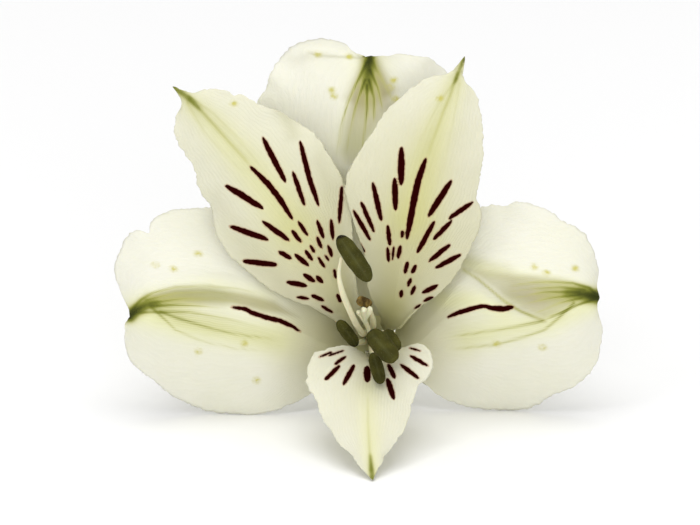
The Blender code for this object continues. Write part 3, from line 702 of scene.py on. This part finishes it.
def blade_places(tepal, curves, soft, seed, sizes):
    """Rows of points over the tepal from foot to tip, each from margin to margin, waved and folded."""
    rows = []
    for row in range(TEPAL_ROWS + 1):
        along = row / TEPAL_ROWS
        free = min(1.0, max(0.0, (along - 0.25) * 2.5)) * min(1.0, (1 - along) * 12)
        rib = curves["midrib"][row]
        made = []
        for column in range(2 * TEPAL_HALF_COLUMNS + 1):
            across = column / TEPAL_HALF_COLUMNS - 1
            side = "right" if across > 0 else "left"
            margin = soft[side][row]
            share = abs(across)
            place = rib.lerp(margin, share)
            place.z = rib.z + (margin.z - rib.z) * share**1.5
            # Notches and small lobes of a margin stay near it.
            place += (curves[side][row] - margin) * share**6
            broad = noise.noise(place / BROAD_WAVE + seed)
            small = noise.noise(place / SMALL_WAVE + seed * 2)
            place.z += free * (sizes.wave * broad + sizes.ruffle * small * share**4)
            made.append(place)
        rows.append(made)
    places = [place for made in rows for place in made]
    flat = grid_places(np.array([tuple(place) for place in places]))
    for crest, wide, high in tepal.get("folds", []):
        gap, along = stroke_reach(flat, crest)
        lift = high * MM * np.exp(-((gap / wide) ** 2)) * np.clip(4 * along * (1 - along), 0, 1)
        for place, more in zip(places, lift):
            place.z += more
    return rows


def blade_surface(name, tepal, sizes):
    """The tepal's open surface in the bloom's own frame, its UV map with u across it and v to the tip."""
    seed = Vector((tepal["turn"], 0, 0))
    curves, soft = blade_curves(name, tepal, seed, sizes.fringe)
    shape = bmesh.new()
    layer = shape.loops.layers.uv.new("UVMap")
    places = blade_places(tepal, curves, soft, seed, sizes)
    rows = [[shape.verts.new(place) for place in made] for made in places]
    last = 2 * TEPAL_HALF_COLUMNS
    for row, (lower, upper) in enumerate(zip(rows, rows[1:])):
        for column in range(last):
            face = shape.faces.new((lower[column], lower[column + 1], upper[column + 1], upper[column]))
            corners = ((column, row), (column + 1, row), (column + 1, row + 1), (column, row + 1))
            for loop, (u, v) in zip(face.loops, corners):
                loop[layer].uv = (u / last, v / TEPAL_ROWS)
    bmesh.ops.remove_doubles(shape, verts=shape.verts, dist=2e-6)
    bmesh.ops.recalc_face_normals(shape, faces=shape.faces)
    shape.normal_update()
    if sum(face.normal.z * face.calc_area() for face in shape.faces) < 0:
        bmesh.ops.reverse_faces(shape, faces=shape.faces)
    return mesh_of(name, shape)


def mesh_of(name, shape):
    mesh = bpy.data.meshes.new(name)
    shape.to_mesh(mesh)
    shape.free()
    return mesh


def points_of(mesh):
    places = np.empty(len(mesh.vertices) * 3, np.float32)
    mesh.vertices.foreach_get("co", places)
    return places.reshape(-1, 3)


def add_field(mesh, name, values):
    layer = mesh.attributes.new(name, "FLOAT", "POINT")
    layer.data.foreach_set("value", np.asarray(values, np.float32))


def add_object(name, data):
    made = bpy.data.objects.new(name, data)
    bpy.context.scene.collection.objects.link(made)
    return made


def modified(mesh, kind, settings, inputs=None):
    """The plain mesh that one modifier makes from a mesh."""
    holder = add_object("holder", mesh)
    modifier = holder.modifiers.new("Maker", kind)
    for key, value in settings.items():
        setattr(modifier, key, value)
    for key, value in (inputs or {}).items():
        modifier[key] = value
    made = bpy.data.meshes.new_from_object(holder.evaluated_get(bpy.context.evaluated_depsgraph_get()))
    made.name = mesh.name
    holder.modifiers.clear()
    bpy.data.objects.remove(holder)
    return made


def finish_piece(name, mesh, material):
    """Puts a mesh made in the bloom's own frame in its place, as the piece that stands for a node."""
    mesh.transform(FACE)
    inside = np.clip(points_of(mesh), np.array(CAD_BOX[0]), np.array(CAD_BOX[1]))
    mesh.vertices.foreach_set("co", inside.astype(np.float32).ravel())
    if material:
        mesh.materials.clear()
        mesh.materials.append(material)
    mesh.shade_smooth()
    piece = add_object("fine_" + name, mesh)
    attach(piece, "root")
    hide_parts(name)


class Nodes:
    """A short way to write a tree's nodes. A value that is a socket is linked, and any other is set."""

    def node(self, kind, values=None, **settings):
        made = self.tree.nodes.new(kind if "Node" in kind else self.family + kind)
        for key, value in settings.items():
            setattr(made, key, value)
        for key, value in (values or {}).items():
            self.feed(made.inputs[key], value)
        return made

    def feed(self, socket, value):
        if isinstance(value, bpy.types.NodeSocket):
            self.tree.links.new(value, socket)
        else:
            socket.default_value = value

    def out(self, kind, values=None, **settings):
        return self.node(kind, values, **settings).outputs[0]

    def math(self, operation, a, b=0.0):
        return self.out("ShaderNodeMath", {0: a, 1: b}, operation=operation)

    def times(self, a, b):
        return self.math("MULTIPLY", a, b)

    def plus(self, a, b):
        return self.math("ADD", a, b)

    def minus(self, a, b):
        return self.math("SUBTRACT", a, b)


class Shader(Nodes):
    """A Principled material."""

    family = "ShaderNode"

    def __init__(self, name):
        self.material = bpy.data.materials.new(name)
        self.material.use_nodes = True
        self.tree = self.material.node_tree
        self.surface = self.tree.nodes["Principled BSDF"]
        self.places = self.node("TexCoord").outputs["Object"]

    def set(self, **values):
        for key, value in values.items():
            self.feed(self.surface.inputs[key.replace("_", " ")], value)

    def field(self, name):
        return self.node("Attribute", attribute_name=name).outputs["Fac"]

    def ramp(self, value, low, high, out_low=0.0, out_high=1.0):
        values = {0: value, 1: low, 2: high, 3: out_low, 4: out_high}
        return self.out("MapRange", values, clamp=True, interpolation_type="SMOOTHSTEP")

    def mix(self, factor, a, b, blend="MIX"):
        node = self.node("Mix", {0: factor}, data_type="RGBA", blend_type=blend)
        for place, value in ((6, a), (7, b)):
            linked = isinstance(value, bpy.types.NodeSocket)
            self.feed(node.inputs[place], value if linked else (*value, 1.0))
        return node.outputs[2]

    def tint(self, base, by):
        return self.mix(1.0, base, by, "MULTIPLY")

    def noise(self, scale, detail=3.0, roughness=0.5, vector=None):
        values = {"Vector": vector or self.places, "Scale": scale, "Detail": detail, "Roughness": roughness}
        return self.node("TexNoise", values).outputs["Fac"]

    def bump(self, height, strength, distance):
        values = {"Height": height, "Strength": strength, "Distance": distance}
        self.set(Normal=self.node("Bump", values).outputs["Normal"])


def scaled(base, factor):
    return [min(1, part * factor) for part in base]


def petal_material(name, colours):
    """Cream petal skin: fanned veins, green tip and veins, yellow dots, maroon streaks, olive throat,
    painted shade.
    """
    s = Shader(name)
    split = s.node("SeparateXYZ", {0: s.out("UVMap", uv_map="UVMap")})
    across = s.times(s.minus(split.outputs[0], 0.5), 2.0)
    off_midrib = s.math("ABSOLUTE", across)
    back = s.field("back")
    # Veins leave the midrib one by one and run out to the margin, and the middle ones reach the tip.
    spread = s.math("MAXIMUM", s.minus(split.outputs[1], 0.12), 0.1)
    drift = s.plus(s.times(s.minus(s.noise(280, 4), 0.5), 0.34), 1.0)
    fan = s.times(s.math("DIVIDE", across, spread), drift)
    rib = s.math("SINE", s.times(fan, 2 * math.pi * RIBS))
    fine_rib = s.math("SINE", s.times(fan, 2 * math.pi * FINE_RIBS))
    cells = s.noise(2600, 3, 0.6)
    cloud = s.noise(120)
    # Towards the throat the cream turns warmer and darker: partly its own tint, partly painted shade.
    warmth_and_shade = s.times(s.field("warmth_and_shade"), s.ramp(off_midrib, 0.1, 0.85, 1.0, 0.7))
    cream = s.mix(warmth_and_shade, colours.petal, colours.heart)
    skin = s.mix(s.ramp(cloud, 0.3, 0.7, 0.0, 0.5), cream, s.tint(cream, (0.95, 0.955, 0.9)))
    skin = s.mix(s.ramp(rib, 0.3, 1.0, 0.0, 0.035), skin, (0.6, 0.62, 0.4))
    skin = s.mix(s.ramp(fine_rib, 0.2, 1.0, 0.0, 0.03), skin, (0.6, 0.6, 0.45))
    skin = s.mix(s.field("glow"), skin, s.tint(skin, (0.985, 1.0, 0.68)))
    # Painted shade of creases, channels and overlaps, in a dark olive that near some tips also stands for
    # their own olive tint.
    olive_shade = s.mix(s.ramp(cloud, 0.35, 0.65), (0.26, 0.215, 0.07), (0.28, 0.265, 0.075))
    skin = s.mix(s.field("shade"), skin, olive_shade)
    skin = s.mix(s.field("throat"), skin, colours.throat)
    strength = s.times(s.field("green"), s.ramp(fine_rib, -1.0, 1.0, 0.85, 1.1))
    leafy = s.mix(s.ramp(strength, 0.25, 0.6), (0.44, 0.43, 0.12), (0.2, 0.215, 0.03))
    leafy = s.mix(s.ramp(strength, 0.55, 0.95), leafy, colours.green)
    skin = s.mix(s.ramp(strength, 0.0, 0.62), skin, leafy)
    keel = s.times(back, s.ramp(off_midrib, 0.09, 0.0, 0.0, 0.3))
    skin = s.mix(keel, skin, (0.3, 0.38, 0.12))
    smudge = s.times(s.field("dot"), s.ramp(s.noise(1500, 2), 0.3, 0.6, 0.25, 0.9))
    skin = s.mix(smudge, skin, colours.dot)
    # A streak has a ragged edge and a thin rusty halo, and shows only weakly on the back.
    ragged = s.plus(s.field("mark"), s.times(s.minus(s.noise(1400, 2), 0.5), 0.24))
    halo = s.times(s.ramp(ragged, 0.2, 0.0, 0.0, 0.6), s.ramp(back, 0.0, 1.0, 1.0, 0.2))
    dark = s.times(s.ramp(ragged, 0.04, -0.06), s.ramp(back, 0.0, 1.0, 1.0, 0.25))
    skin = s.mix(halo, skin, (0.42, 0.2, 0.1))
    s.set(
        Base_Color=s.mix(dark, skin, colours.streak),
        Roughness=s.ramp(dark, 0.0, 1.0, 0.55, 0.9),
        Specular_IOR_Level=s.ramp(dark, 0.0, 1.0, 0.09, 0.0),
        Subsurface_Weight=s.ramp(dark, 0.0, 1.0, 0.12, 0.0),
        Subsurface_Scale=0.0004,
        Subsurface_Radius=(1.0, 0.9, 0.55),
    )
    height = s.plus(s.times(rib, 0.5), s.times(fine_rib, 0.25))
    s.bump(s.plus(height, s.times(cells, 0.6)), 0.4, 0.00006)
    return s.material


def thread_material(name, base, tip):
    """Waxy plant tissue that changes colour along its length, with faint lengthwise streaks."""
    s = Shader(name)
    grain = s.noise(900)
    body = s.mix(s.ramp(s.field("along"), 0.0, 1.0), base, tip)
    mottled = s.mix(s.ramp(grain, 0.35, 0.75, 0.0, 0.22), body, scaled(base, 0.7))
    s.set(Base_Color=mottled, Roughness=0.5, Subsurface_Weight=0.15, Subsurface_Scale=0.0004)
    s.bump(grain, 0.3, 0.00004)
    return s.material


def anther_material(name, colours):
    """Matt olive pollen sac with fine grain, a paler ridge and a painted shadow at its held end."""
    s = Shader(name)
    coarse = s.noise(500)
    fine = s.noise(4200, 4, 0.7)
    body = s.mix(s.ramp(coarse, 0.3, 0.75), colours.anther, scaled(colours.anther, 1.7))
    body = s.mix(s.times(s.field("ridge"), 0.14), body, (0.2, 0.21, 0.1))
    withered = s.mix(s.ramp(coarse, 0.4, 0.6), (0.06, 0.036, 0.01), (0.27, 0.18, 0.05))
    body = s.mix(s.field("age"), body, withered)
    # A near-black painted shadow over the held end of the sac.
    body = s.mix(s.field("held_end_shadow"), body, (0.008, 0.005, 0.003))
    s.set(Base_Color=body, Roughness=0.72, Specular_IOR_Level=0.08)
    s.bump(s.plus(s.times(fine, 0.7), s.times(coarse, 0.5)), 0.6, 0.00008)
    return s.material


def stalk_material(name, base, cut):
    """Green stem skin with long fine streaks, and a pale cut face with its ring of bundles."""
    s = Shader(name)
    stretched = s.out("Mapping", {"Vector": s.places, "Scale": (1.0, 0.08, 1.0)})
    streaks = s.noise(2200, 4, 0.6, stretched)
    skin = s.mix(s.ramp(streaks, 0.35, 0.7, 0.0, 0.5), base, scaled(base, 1.55))
    skin = s.mix(s.ramp(s.noise(160), 0.45, 0.75, 0.0, 0.3), skin, (0.26, 0.2, 0.08))
    cells = s.node("TexVoronoi", {"Vector": s.places, "Scale": 3800.0}).outputs["Distance"]
    wet = s.mix(s.ramp(cells, 0.1, 0.35), (0.18, 0.26, 0.08), cut)
    skin = s.mix(s.field("cut"), skin, wet)
    skin = s.mix(s.field("crown"), skin, (0.5, 0.48, 0.22))
    s.set(Base_Color=skin, Roughness=0.42, Subsurface_Weight=0.08, Subsurface_Scale=0.0008)
    s.bump(streaks, 0.35, 0.00005)
    return s.material


def floor_material(name, base):
    s = Shader(name)
    mottle = s.ramp(s.noise(35, 2), 0.3, 0.7, 0, 0.02)
    s.set(Base_Color=s.mix(mottle, base, scaled(base, 0.97)), Roughness=0.8)
    return s.material


class Tree(Nodes):
    """A Geometry Nodes tree with named inputs."""

    family = "GeometryNode"

    def __init__(self, name, inputs):
        self.tree = bpy.data.node_groups.new(name, "GeometryNodeTree")
        face = self.tree.interface
        face.new_socket("Geometry", in_out="INPUT", socket_type="NodeSocketGeometry")
        face.new_socket("Geometry", in_out="OUTPUT", socket_type="NodeSocketGeometry")
        self.ids = {}
        for label, kind, default in inputs:
            socket = face.new_socket(label, in_out="INPUT", socket_type="NodeSocket" + kind)
            if default is not None:
                socket.default_value = default
            self.ids[label] = socket.identifier
        self.start = self.tree.nodes.new("NodeGroupInput")
        self.end = self.tree.nodes.new("NodeGroupOutput")

    def given(self, label):
        return self.start.outputs[label]

    def vector(self, operation, a, b):
        node = self.node("ShaderNodeVectorMath", {0: a}, operation=operation)
        self.feed(node.inputs["Scale" if operation == "SCALE" else 1], b)
        return node.outputs[0]

    def store(self, geometry, name, value):
        values = {"Geometry": geometry, "Name": name, "Value": value}
        return self.out("StoreNamedAttribute", values, data_type="FLOAT", domain="POINT")

    def stored(self, name, kind="FLOAT"):
        return self.out("InputNamedAttribute", {"Name": name}, data_type=kind)

    def finish(self, geometry, *dressings):
        """Ends the tree with the geometry made real, and a material set for each dressing."""
        made = self.out("RealizeInstances", {0: geometry})
        for dressing in dressings:
            made = self.out("SetMaterial", {"Geometry": made, **dressing})
        self.feed(self.end.inputs[0], made)

    def applied(self, mesh, values):
        """The plain mesh that the tree makes from a mesh."""
        inputs = {self.ids[label]: value for label, value in values.items()}
        return modified(mesh, "NODES", {"node_group": self.tree}, inputs)


def rod_tree():
    """A closed rod round a path: its girth and the depth of its ribs come from the path's own points."""
    t = Tree("rod_round_path", [("Sides", "Int", 24), ("Ribs", "Int", 6), ("Material", "Material", None)])
    path = t.out("MeshToCurve", {0: t.given("Geometry")})
    circle = t.out("CurvePrimitiveCircle", {"Resolution": t.given("Sides"), "Radius": 1.0})
    spot = t.out("InputPosition")
    parts = t.node("ShaderNodeSeparateXYZ", {0: spot})
    profile = t.store(circle, "angle", t.math("ARCTAN2", parts.outputs[1], parts.outputs[0]))
    values = {"Curve": path, "Profile Curve": profile, "Scale": t.stored("girth"), "Fill Caps": True}
    rod = t.out("CurveToMesh", values)
    wave = t.math("COSINE", t.times(t.stored("angle"), t.given("Ribs")))
    dip = t.times(t.stored("ridge"), t.times(t.minus(wave, 1.0), 0.5))
    centre = t.stored("centre", "FLOAT_VECTOR")
    spoke = t.vector("SCALE", t.vector("SUBTRACT", spot, centre), t.plus(dip, 1.0))
    ribbed = t.out("SetPosition", {"Geometry": rod, "Position": t.vector("ADD", centre, spoke)})
    t.finish(ribbed, {"Material": t.given("Material")})
    return t


def pollen_tree():
    """Small grains scattered over a sac, joined to it."""
    inputs = [
        ("Density", "Float", 8.0e6), ("Grain", "Float", 0.00003), ("Seed", "Int", 1),
        ("Sac", "Material", None), ("Pollen", "Material", None),
    ]
    t = Tree("pollen_on_sac", inputs)
    sac = t.given("Geometry")
    values = {"Mesh": sac, "Density": t.given("Density"), "Seed": t.given("Seed")}
    spots = t.out("DistributePointsOnFaces", values)
    ball = t.out("MeshIcoSphere", {"Radius": t.given("Grain"), "Subdivisions": 1})
    values = {2: 0.6, 3: 1.5, 8: t.given("Seed")}
    size = t.node("FunctionNodeRandomValue", values, data_type="FLOAT").outputs[1]
    values = {"Points": spots, "Instance": t.store(ball, "grain", 1.0), "Scale": size}
    joined = t.node("JoinGeometry")
    for geometry in (t.out("InstanceOnPoints", values), sac):
        t.feed(joined.inputs[0], geometry)
    dust = {"Selection": t.stored("grain"), "Material": t.given("Pollen")}
    t.finish(joined.outputs[0], {"Material": t.given("Sac")}, dust)
    return t


def path_mesh(name, points, girths, ridges=0.0, starts=()):
    """A line of edges that carries the girth and ribs of the rod round it. Each start begins a new rod."""
    mesh = bpy.data.meshes.new(name)
    mesh.from_pydata(points, [(i, i + 1) for i in range(len(points) - 1) if i + 1 not in starts], [])
    add_field(mesh, "girth", girths)
    add_field(mesh, "ridge", np.zeros(len(points)) + ridges)
    add_field(mesh, "along", np.linspace(0, 1, len(points)))
    centre = mesh.attributes.new("centre", "FLOAT_VECTOR", "POINT")
    centre.data.foreach_set("vector", np.array([tuple(p) for p in points], np.float32).ravel())
    return mesh


def closed_rod(path, rods, sides, ribs, material):
    """The rod round a path, with no doubles and every face turned outwards."""
    rod = rods.applied(path, {"Sides": sides, "Ribs": ribs, "Material": material})
    shape = bmesh.new()
    shape.from_mesh(rod)
    bmesh.ops.remove_doubles(shape, verts=shape.verts, dist=1e-7)
    bmesh.ops.recalc_face_normals(shape, faces=shape.faces)
    shape.to_mesh(rod)
    shape.free()
    return rod


def rounded_end(points, girths):
    """The same girths, closing like half a ball at the far end of the path."""
    left = np.array([(points[-1] - p).length for p in points])
    cap = np.clip(left / girths, 0.02, 1)
    return girths * np.sqrt(1 - (1 - cap) ** 2)


def anther_surface(name, held, free, across, aged):
    """Two long sacs side by side: an egg shape with a groove down both faces and a paler ridge between."""
    shape = bmesh.new()
    bmesh.ops.create_uvsphere(shape, u_segments=64, v_segments=40, radius=1)
    half_length = (free - held).length / 2
    turn = (free - held).to_track_quat("Z", "Y")
    seed = Vector((half_length * 9000, across * 7000, 3.0))
    ridge = []
    held_end_shadow = []
    for vertex in shape.verts:
        x, y, z = vertex.co
        blunt = (1 - abs(z) ** 3) ** 0.5 / max((1 - z * z) ** 0.5, 1e-6) if abs(z) < 0.999 else 1
        groove = 1 - 0.22 * math.exp(-((x / 0.25) ** 2))
        slit = 1 - 0.05 * math.exp(-(((abs(x) - 0.93) / 0.06) ** 2))
        bumps = 1 + 0.035 * noise.noise(Vector((x, y, z * 2)) * 2.6 + seed)
        wide = x * blunt * bumps * slit * across / 2
        deep = y * blunt * groove * bumps * across * 0.4
        vertex.co = turn @ Vector((wide, deep, z * half_length)) + (held + free) / 2
        ridge.append(math.exp(-((x / 0.16) ** 2)) * (1 - z * z))
        # Where the painted shadow lies: the held end of the sac, cut on a slant.
        held_end_shadow.append(float(smooth_step(-z + 0.12 * x, 0.82, 0.92)))
    # The grains are drawn face by face, so the faces and their corners get an order that never varies.
    faces = []
    for face in shape.faces:
        corners = [vertex.index for vertex in face.verts]
        first = corners.index(min(corners))
        faces.append(corners[first:] + corners[:first])
    mesh = bpy.data.meshes.new(name)
    mesh.from_pydata([vertex.co for vertex in shape.verts], [], sorted(faces))
    shape.free()
    add_field(mesh, "ridge", ridge)
    add_field(mesh, "held_end_shadow", held_end_shadow)
    add_field(mesh, "age", np.full(len(mesh.vertices), aged))
    return mesh


def stalk_line():
    """The middle line of ovary and stalk: straight behind the bloom, then level along the surface."""
    level = Vector((0, math.sin(FACE_ELEVATION), -math.cos(FACE_ELEVATION))) * STALK_LENGTH
    aside = Vector((STALK_SWAY, 0, 0))
    bend = Vector((0, 0, -OVARY_LENGTH - STALK_BEND))
    down = [Vector((0, 0, -OVARY_LENGTH * share)) for share in (0, 0.5, 1)]
    out = [bend + level * far + aside * sway for far, sway in ((0.3, 0.25), (0.65, 0.8), (1, 1))]
    return curve_through([*down, bend, *out], STALK_ROWS)


class BloomStep:
    """What the operators share: each builds its pieces from the scene's sizes and colours."""

    def execute(self, context):
        self.build(context.scene, context.scene.bloom_sizes, context.scene.bloom_colours)
        return {"FINISHED"}


class BLOOM_OT_tepals(BloomStep, bpy.types.Operator):
    """Build the six petals with their veins, tips, dots and streaks"""

    bl_idname = "bloom.tepals"
    bl_label = "Petals"

    def build(self, scene, sizes, colours):
        skin = petal_material("petal_skin", colours)
        for name, tepal in TEPALS.items():
            wall = {"thickness": sizes.blade, "offset": 0}
            solid = modified(blade_surface(name, tepal, sizes), "SOLIDIFY", wall)
            for label, values in petal_fields(solid, tepal).items():
                add_field(solid, label, values)
            finish_piece(name, solid, skin)


class BLOOM_OT_stamens(BloomStep, bpy.types.Operator):
    """Build the six stamens: tapered threads and grained pollen sacs"""

    bl_idname = "bloom.stamens"
    bl_label = "Stamens"

    def build(self, scene, sizes, colours):
        thread = thread_material("filament_wax", colours.filament, scaled(colours.filament, 1.12))
        sac = anther_material("anther_skin", colours)
        pollen = thread_material("pollen_dust", colours.pollen, colours.pollen)
        rods, dust = rod_tree(), pollen_tree()
        along = np.linspace(0, 1, THREAD_ROWS)
        taper = 1.0 - 0.15 * along - 0.45 * smooth_step(along, 0.82, 1.0)
        for number, stamen in enumerate(STAMENS, 1):
            foot = round_foot(stamen["turn"]) * FILAMENT_RING
            foot.z = FOOT_GAP
            points = curve_through([foot, *(face_point(*p) for p in stamen["way"])], THREAD_ROWS)
            path = path_mesh(f"filament_{number}", points, rounded_end(points, sizes.filament * taper))
            finish_piece(f"filament_{number}", closed_rod(path, rods, 20, 6, thread), thread)
            held, free = (face_point(*p) for p in stamen["anther"])
            aged = stamen.get("aged", 0.0)
            body = anther_surface(f"anther_{number}", held, free, stamen["across"] * MM, aged)
            values = {"Density": sizes.grains, "Grain": sizes.grain, "Seed": number}
            grained = dust.applied(body, {**values, "Sac": sac, "Pollen": pollen})
            finish_piece(f"anther_{number}", grained, None)


class BLOOM_OT_style(BloomStep, bpy.types.Operator):
    """Build the style with its three short arms"""

    bl_idname = "bloom.style"
    bl_label = "Style"

    def build(self, scene, sizes, colours):
        wax = thread_material("style_wax", colours.filament, (0.8, 0.78, 0.55))
        points = curve_through([Vector((0, 0, FOOT_GAP)), *(face_point(*p) for p in STYLE_WAY)], THREAD_ROWS)
        thick = sizes.style * (1 + 0.25 * smooth_step(np.linspace(0, 1, THREAD_ROWS), 0.8, 0.95))
        girths = rounded_end(points, thick)
        starts = []
        for way in STYLE_ARMS:
            arm = curve_through([face_point(*p) for p in way], ARM_ROWS)
            thick = sizes.style * (0.9 + 0.4 * smooth_step(np.linspace(0, 1, ARM_ROWS), 0.3, 0.8))
            starts.append(len(points))
            points = [*points, *arm]
            girths = np.r_[girths, rounded_end(arm, thick)]
        path = path_mesh("style", points, girths, 0.2, starts)
        finish_piece("style", closed_rod(path, rod_tree(), 24, 3, wax), wax)


class BLOOM_OT_stalk(BloomStep, bpy.types.Operator):
    """Build the ribbed ovary and the cut flower stalk"""

    bl_idname = "bloom.stalk"
    bl_label = "Ovary and stalk"

    def build(self, scene, sizes, colours):
        rods = rod_tree()
        line = stalk_line()
        spacing = sum((b - a).length for a, b in zip(line, line[1:])) / (len(line) - 1)
        turning = round(OVARY_LENGTH / spacing)
        top = line[: turning + 1]
        swell = (1 - np.linspace(0, 1, len(top))) ** 0.62
        girths = sizes.stalk + (sizes.ovary - sizes.stalk) * swell
        path = path_mesh("ovary", top, girths, 0.12 * np.minimum(1, swell * 2))
        skin = stalk_material("ovary_skin", colours.ovary, (0.45, 0.5, 0.25))
        ovary = closed_rod(path, rods, 96, sizes.ribs, skin)
        add_field(ovary, "crown", [smooth_step(v.co.z, -0.0003, -0.00002) for v in ovary.vertices])
        finish_piece("ovary", ovary, skin)
        rest = line[turning::STALK_STEP]
        if (len(line) - 1 - turning) % STALK_STEP:
            rest.append(line[-1])
        path = path_mesh("flower_stalk", rest, np.full(len(rest), sizes.stalk), 0.06)
        bark = stalk_material("stalk_skin", colours.stalk, (0.52, 0.56, 0.33))
        stalk = closed_rod(path, rods, 36, 9, bark)
        ends = [smooth_step(-(v.co - line[-1]).length, -0.00118, -0.0011) for v in stalk.vertices]
        add_field(stalk, "cut", ends)
        finish_piece("flower_stalk", stalk, bark)


class BLOOM_OT_stage(BloomStep, bpy.types.Operator):
    """Set up the pale floor, the soft lights and the camera"""

    bl_idname = "bloom.stage"
    bl_label = "Stage"

    def build(self, scene, sizes, colours):
        shape = bmesh.new()
        bmesh.ops.create_grid(shape, x_segments=24, y_segments=24, size=3)
        mesh = mesh_of("floor", shape)
        mesh.materials.append(floor_material("floor_paint", colours.floor))
        floor = add_object("floor", mesh)
        world = bpy.data.worlds.new("studio")
        world.use_nodes = True
        even = world.node_tree.nodes["Background"].inputs
        even["Color"].default_value = (1, 1, 1, 1)
        even["Strength"].default_value = EVEN_LIGHT
        scene.world = world
        for name, place, aim, size, power in LAMPS:
            lamp = add_object(name, bpy.data.lights.new(name, "AREA"))
            lamp.data.shape = "DISK"
            lamp.data.size = size
            lamp.data.energy = power
            lamp.location = place
            lamp.rotation_euler = (Vector(aim) - Vector(place)).to_track_quat("-Z", "Y").to_euler()
        scene.view_settings.view_transform = "Standard"
        camera = add_object("camera", bpy.data.cameras.new("camera"))
        camera.data.sensor_width = SENSOR_WIDTH
        camera.data.lens = SENSOR_WIDTH * VIEW_DISTANCE / (VIEW_COLUMNS * SQUARE)
        camera.location = FACE @ (face_point(*VIEW_CENTRE) + Vector((0, 0, VIEW_DISTANCE)))
        camera.rotation_euler = (math.pi / 2 - FACE_ELEVATION, 0, 0)
        scene.camera = camera


class BLOOM_PT_panel(bpy.types.Panel):
    bl_idname = "BLOOM_PT_panel"
    bl_label = "Alstroemeria bloom"
    bl_space_type = "VIEW_3D"
    bl_region_type = "UI"
    bl_category = "Bloom"

    def draw(self, context):
        for group in (context.scene.bloom_sizes, context.scene.bloom_colours):
            box = self.layout.box()
            for key in group.__annotations__:
                box.prop(group, key)
        for step in STEPS:
            self.layout.operator(step.bl_idname)


STEPS = (BLOOM_OT_tepals, BLOOM_OT_stamens, BLOOM_OT_style, BLOOM_OT_stalk, BLOOM_OT_stage)
CLASSES = (BloomSizes, BloomColours, *STEPS, BLOOM_PT_panel)


def register():
    for item in CLASSES:
        bpy.utils.register_class(item)
    bpy.types.Scene.bloom_sizes = bpy.props.PointerProperty(type=BloomSizes)
    bpy.types.Scene.bloom_colours = bpy.props.PointerProperty(type=BloomColours)


def unregister():
    del bpy.types.Scene.bloom_colours
    del bpy.types.Scene.bloom_sizes
    for item in reversed(CLASSES):
        bpy.utils.unregister_class(item)


def main():
    register()
    bpy.ops.bloom.tepals()
    bpy.ops.bloom.stamens()
    bpy.ops.bloom.style()
    bpy.ops.bloom.stalk()
    bpy.ops.bloom.stage()


if __name__ == "__main__":
    main()
